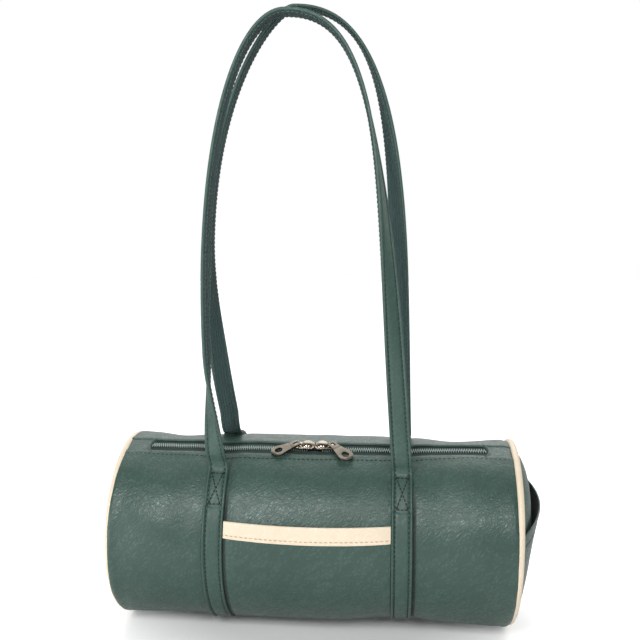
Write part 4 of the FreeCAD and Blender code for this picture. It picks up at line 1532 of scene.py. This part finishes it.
def pull_piece(name):
    """A flat tab that widens to a round end with a hole, hung by a bar at its eye."""
    half = PULL_WALL / 2
    neck_end = PULL_WALL + PULL_EYE
    hole = PULL_LENGTH - PULL_END
    tab = box_piece(name, (PULL_START, -PULL_NECK / 2, -half), (neck_end, PULL_NECK / 2, half))
    with chosen(tab, "FACE", lambda face: face.normal.x > 0.9):
        bpy.ops.mesh.extrude_region_move(TRANSFORM_OT_translate={"value": (hole - neck_end, 0, 0)})
        bpy.ops.transform.resize(value=(1, 2 * PULL_END / PULL_NECK, 1))
    cut_with(tab, rod_piece("pull_end", PULL_END, PULL_WALL, (hole, 0, 0), vertices=56), "UNION")
    cut_with(tab, rod_piece("pull_bar", half, PULL_NECK, (0, 0, 0), (math.pi / 2, 0, 0), 20), "UNION")
    cut_with(tab, rod_piece("pull_hole", PULL_HOLE, 4 * PULL_WALL, (hole, 0, 0)))
    side = PULL_EYE_WIDTH / 2
    cut_with(tab, box_piece("pull_eye", (half, -side, -PULL_PAST), (half + PULL_EYE, side, PULL_PAST)))
    for level in (-half, half):
        low = (PULL_SCORE, -PULL_PAST, level - PULL_SCORE_DEPTH)
        high = (PULL_SCORE + PULL_SCORE_WIDTH, PULL_PAST, level + PULL_SCORE_DEPTH)
        cut_with(tab, box_piece("pull_score", low, high))
    bevel_edges(tab, PULL_BEVEL, 2, 40)
    smooth_shade(tab, 40)
    return tab


def moved(place, degrees, axis):
    return Matrix.Translation(place) @ Matrix.Rotation(math.radians(degrees), 4, axis)


def zip_metal():
    """Sliders, crowns and pulls, modelled at the origin and set in the zip's frame."""
    for side_name, side in SIDES:
        slider, pull = f"{side_name}_slider", f"{side_name}_pull"
        heading = Matrix.Rotation(math.pi if side < 0 else 0.0, 4, "Z")
        zip_frame = moved((0, 0, AXIS_HEIGHT), ZIP_TURN, "X") @ heading
        yaw, droop = PULL_HANG[side_name]
        crown_frame = zip_frame @ moved((CROWN_PLACE, 0, SLIDER_TOP), -side * yaw, "Z")
        pull_frame = crown_frame @ moved((0, 0, PULL_LIFT), droop, "Y")
        for piece, setting, finish, body, solid in (
            (slider_piece(f"{slider}_shell"), zip_frame, NICKEL, slider, f"{slider}_body"),
            (crown_piece(f"{slider}_wire"), crown_frame, NICKEL, slider, f"{slider}_crown"),
            (pull_piece(f"{pull}_tab"), pull_frame, PULL_NICKEL, pull, pull),
        ):
            place_piece(piece, setting)
            wear(piece, finish, body, "nickel", solid)


# Camera, light and floor


def camera():
    back = Vector(
        (
            math.sin(CAMERA_AZIMUTH) * math.cos(CAMERA_PITCH),
            -math.cos(CAMERA_AZIMUTH) * math.cos(CAMERA_PITCH),
            math.sin(CAMERA_PITCH),
        )
    )
    data = bpy.data.cameras.new("camera")
    data.lens = CAMERA_LENS
    data.sensor_width = SENSOR_WIDTH
    data.clip_start = CAMERA_NEAR
    eye = bpy.data.objects.new("camera", data)
    eye.location = CAMERA_TARGET + back * CAMERA_DISTANCE
    eye.rotation_mode = "QUATERNION"
    eye.rotation_quaternion = (-back).to_track_quat("-Z", "Y")
    bpy.context.scene.collection.objects.link(eye)
    bpy.context.scene.camera = eye


def new_lamp(name, kind, power):
    data = bpy.data.lights.new(name, kind)
    data.energy = power
    lamp = bpy.data.objects.new(name, data)
    bpy.context.scene.collection.objects.link(lamp)
    return lamp


def lights():
    for name, box in SOFTBOXES.items():
        lamp = new_lamp(name, "AREA", box.power)
        lamp.data.shape = "RECTANGLE"
        lamp.data.size, lamp.data.size_y = box.size
        lamp.location = box.place
        lamp.rotation_euler = (Vector(box.aim) - Vector(box.place)).to_track_quat("-Z", "Y").to_euler()
    sun = new_lamp("top_light", "SUN", SUN_POWER)
    sun.data.angle = SUN_SPREAD
    sun.rotation_euler = SUN_TILT


def backdrop():
    """White to the camera, and to the bag brighter from behind than from in front."""
    world = bpy.data.worlds.new("studio")
    world.use_nodes = True
    tree = world.node_tree
    sweep = node(tree, "Background", {"Color": (1, 1, 1, 1), "Strength": 1.0})
    way = node(tree, "TexCoord").outputs["Generated"]
    depth = node(tree, "SeparateXYZ", {0: way}).outputs["Y"]
    ambient = tree.nodes["Background"]
    ambient.inputs["Color"].default_value = (1, 1, 1, 1)
    tree.links.new(ranged(tree, depth, *AMBIENT_DEPTH, *AMBIENT), ambient.inputs["Strength"])
    seen = node(tree, "LightPath").outputs["Is Camera Ray"]
    both = node(tree, "MixShader", {0: seen, 1: ambient.outputs[0], 2: sweep.outputs[0]})
    tree.links.new(both.outputs[0], tree.nodes["World Output"].inputs["Surface"])
    bpy.context.scene.world = world
    bpy.context.scene.view_settings.view_transform = "Standard"


def pale_floor():
    """A matt floor that shines a little to the camera, more so away from the bag."""
    deselect()
    bpy.ops.mesh.primitive_plane_add(size=FLOOR_SIZE)
    floor = named("floor")
    material, tree, shader = new_material("pale_floor")
    seen = node(tree, "LightPath").outputs["Is Camera Ray"]
    tree.links.new(mixed(tree, seen, FLOOR_DULL, FLOOR_BRIGHT), shader.inputs["Base Color"])
    tree.links.new(seen, shader.inputs["Emission Color"])
    spot = node(tree, "TexCoord").outputs["Object"]
    shrunk = vectors(tree, "MULTIPLY", {0: spot, 1: GLOW_SHAPE})
    away = node(tree, "VectorMath", {0: shrunk}, operation="LENGTH").outputs["Value"]
    glow = ranged(tree, away, *GLOW_REACH, *GLOW_STRENGTH)
    tree.links.new(glow, shader.inputs["Emission Strength"])
    shader.inputs["Roughness"].default_value = FLOOR_ROUGH
    shader.inputs["Specular IOR Level"].default_value = FLOOR_SPECULAR
    floor.data.materials.append(material)


camera()
backdrop()
lights()
pale_floor()
body_panel()
body_lining()
zip_topstitch()
end_panels()
piping()
zip_tapes()
zip_coils()
zip_end_tabs()
bands()
handles()
front_pocket()
pocket_binding()
end_pocket()
zip_metal()
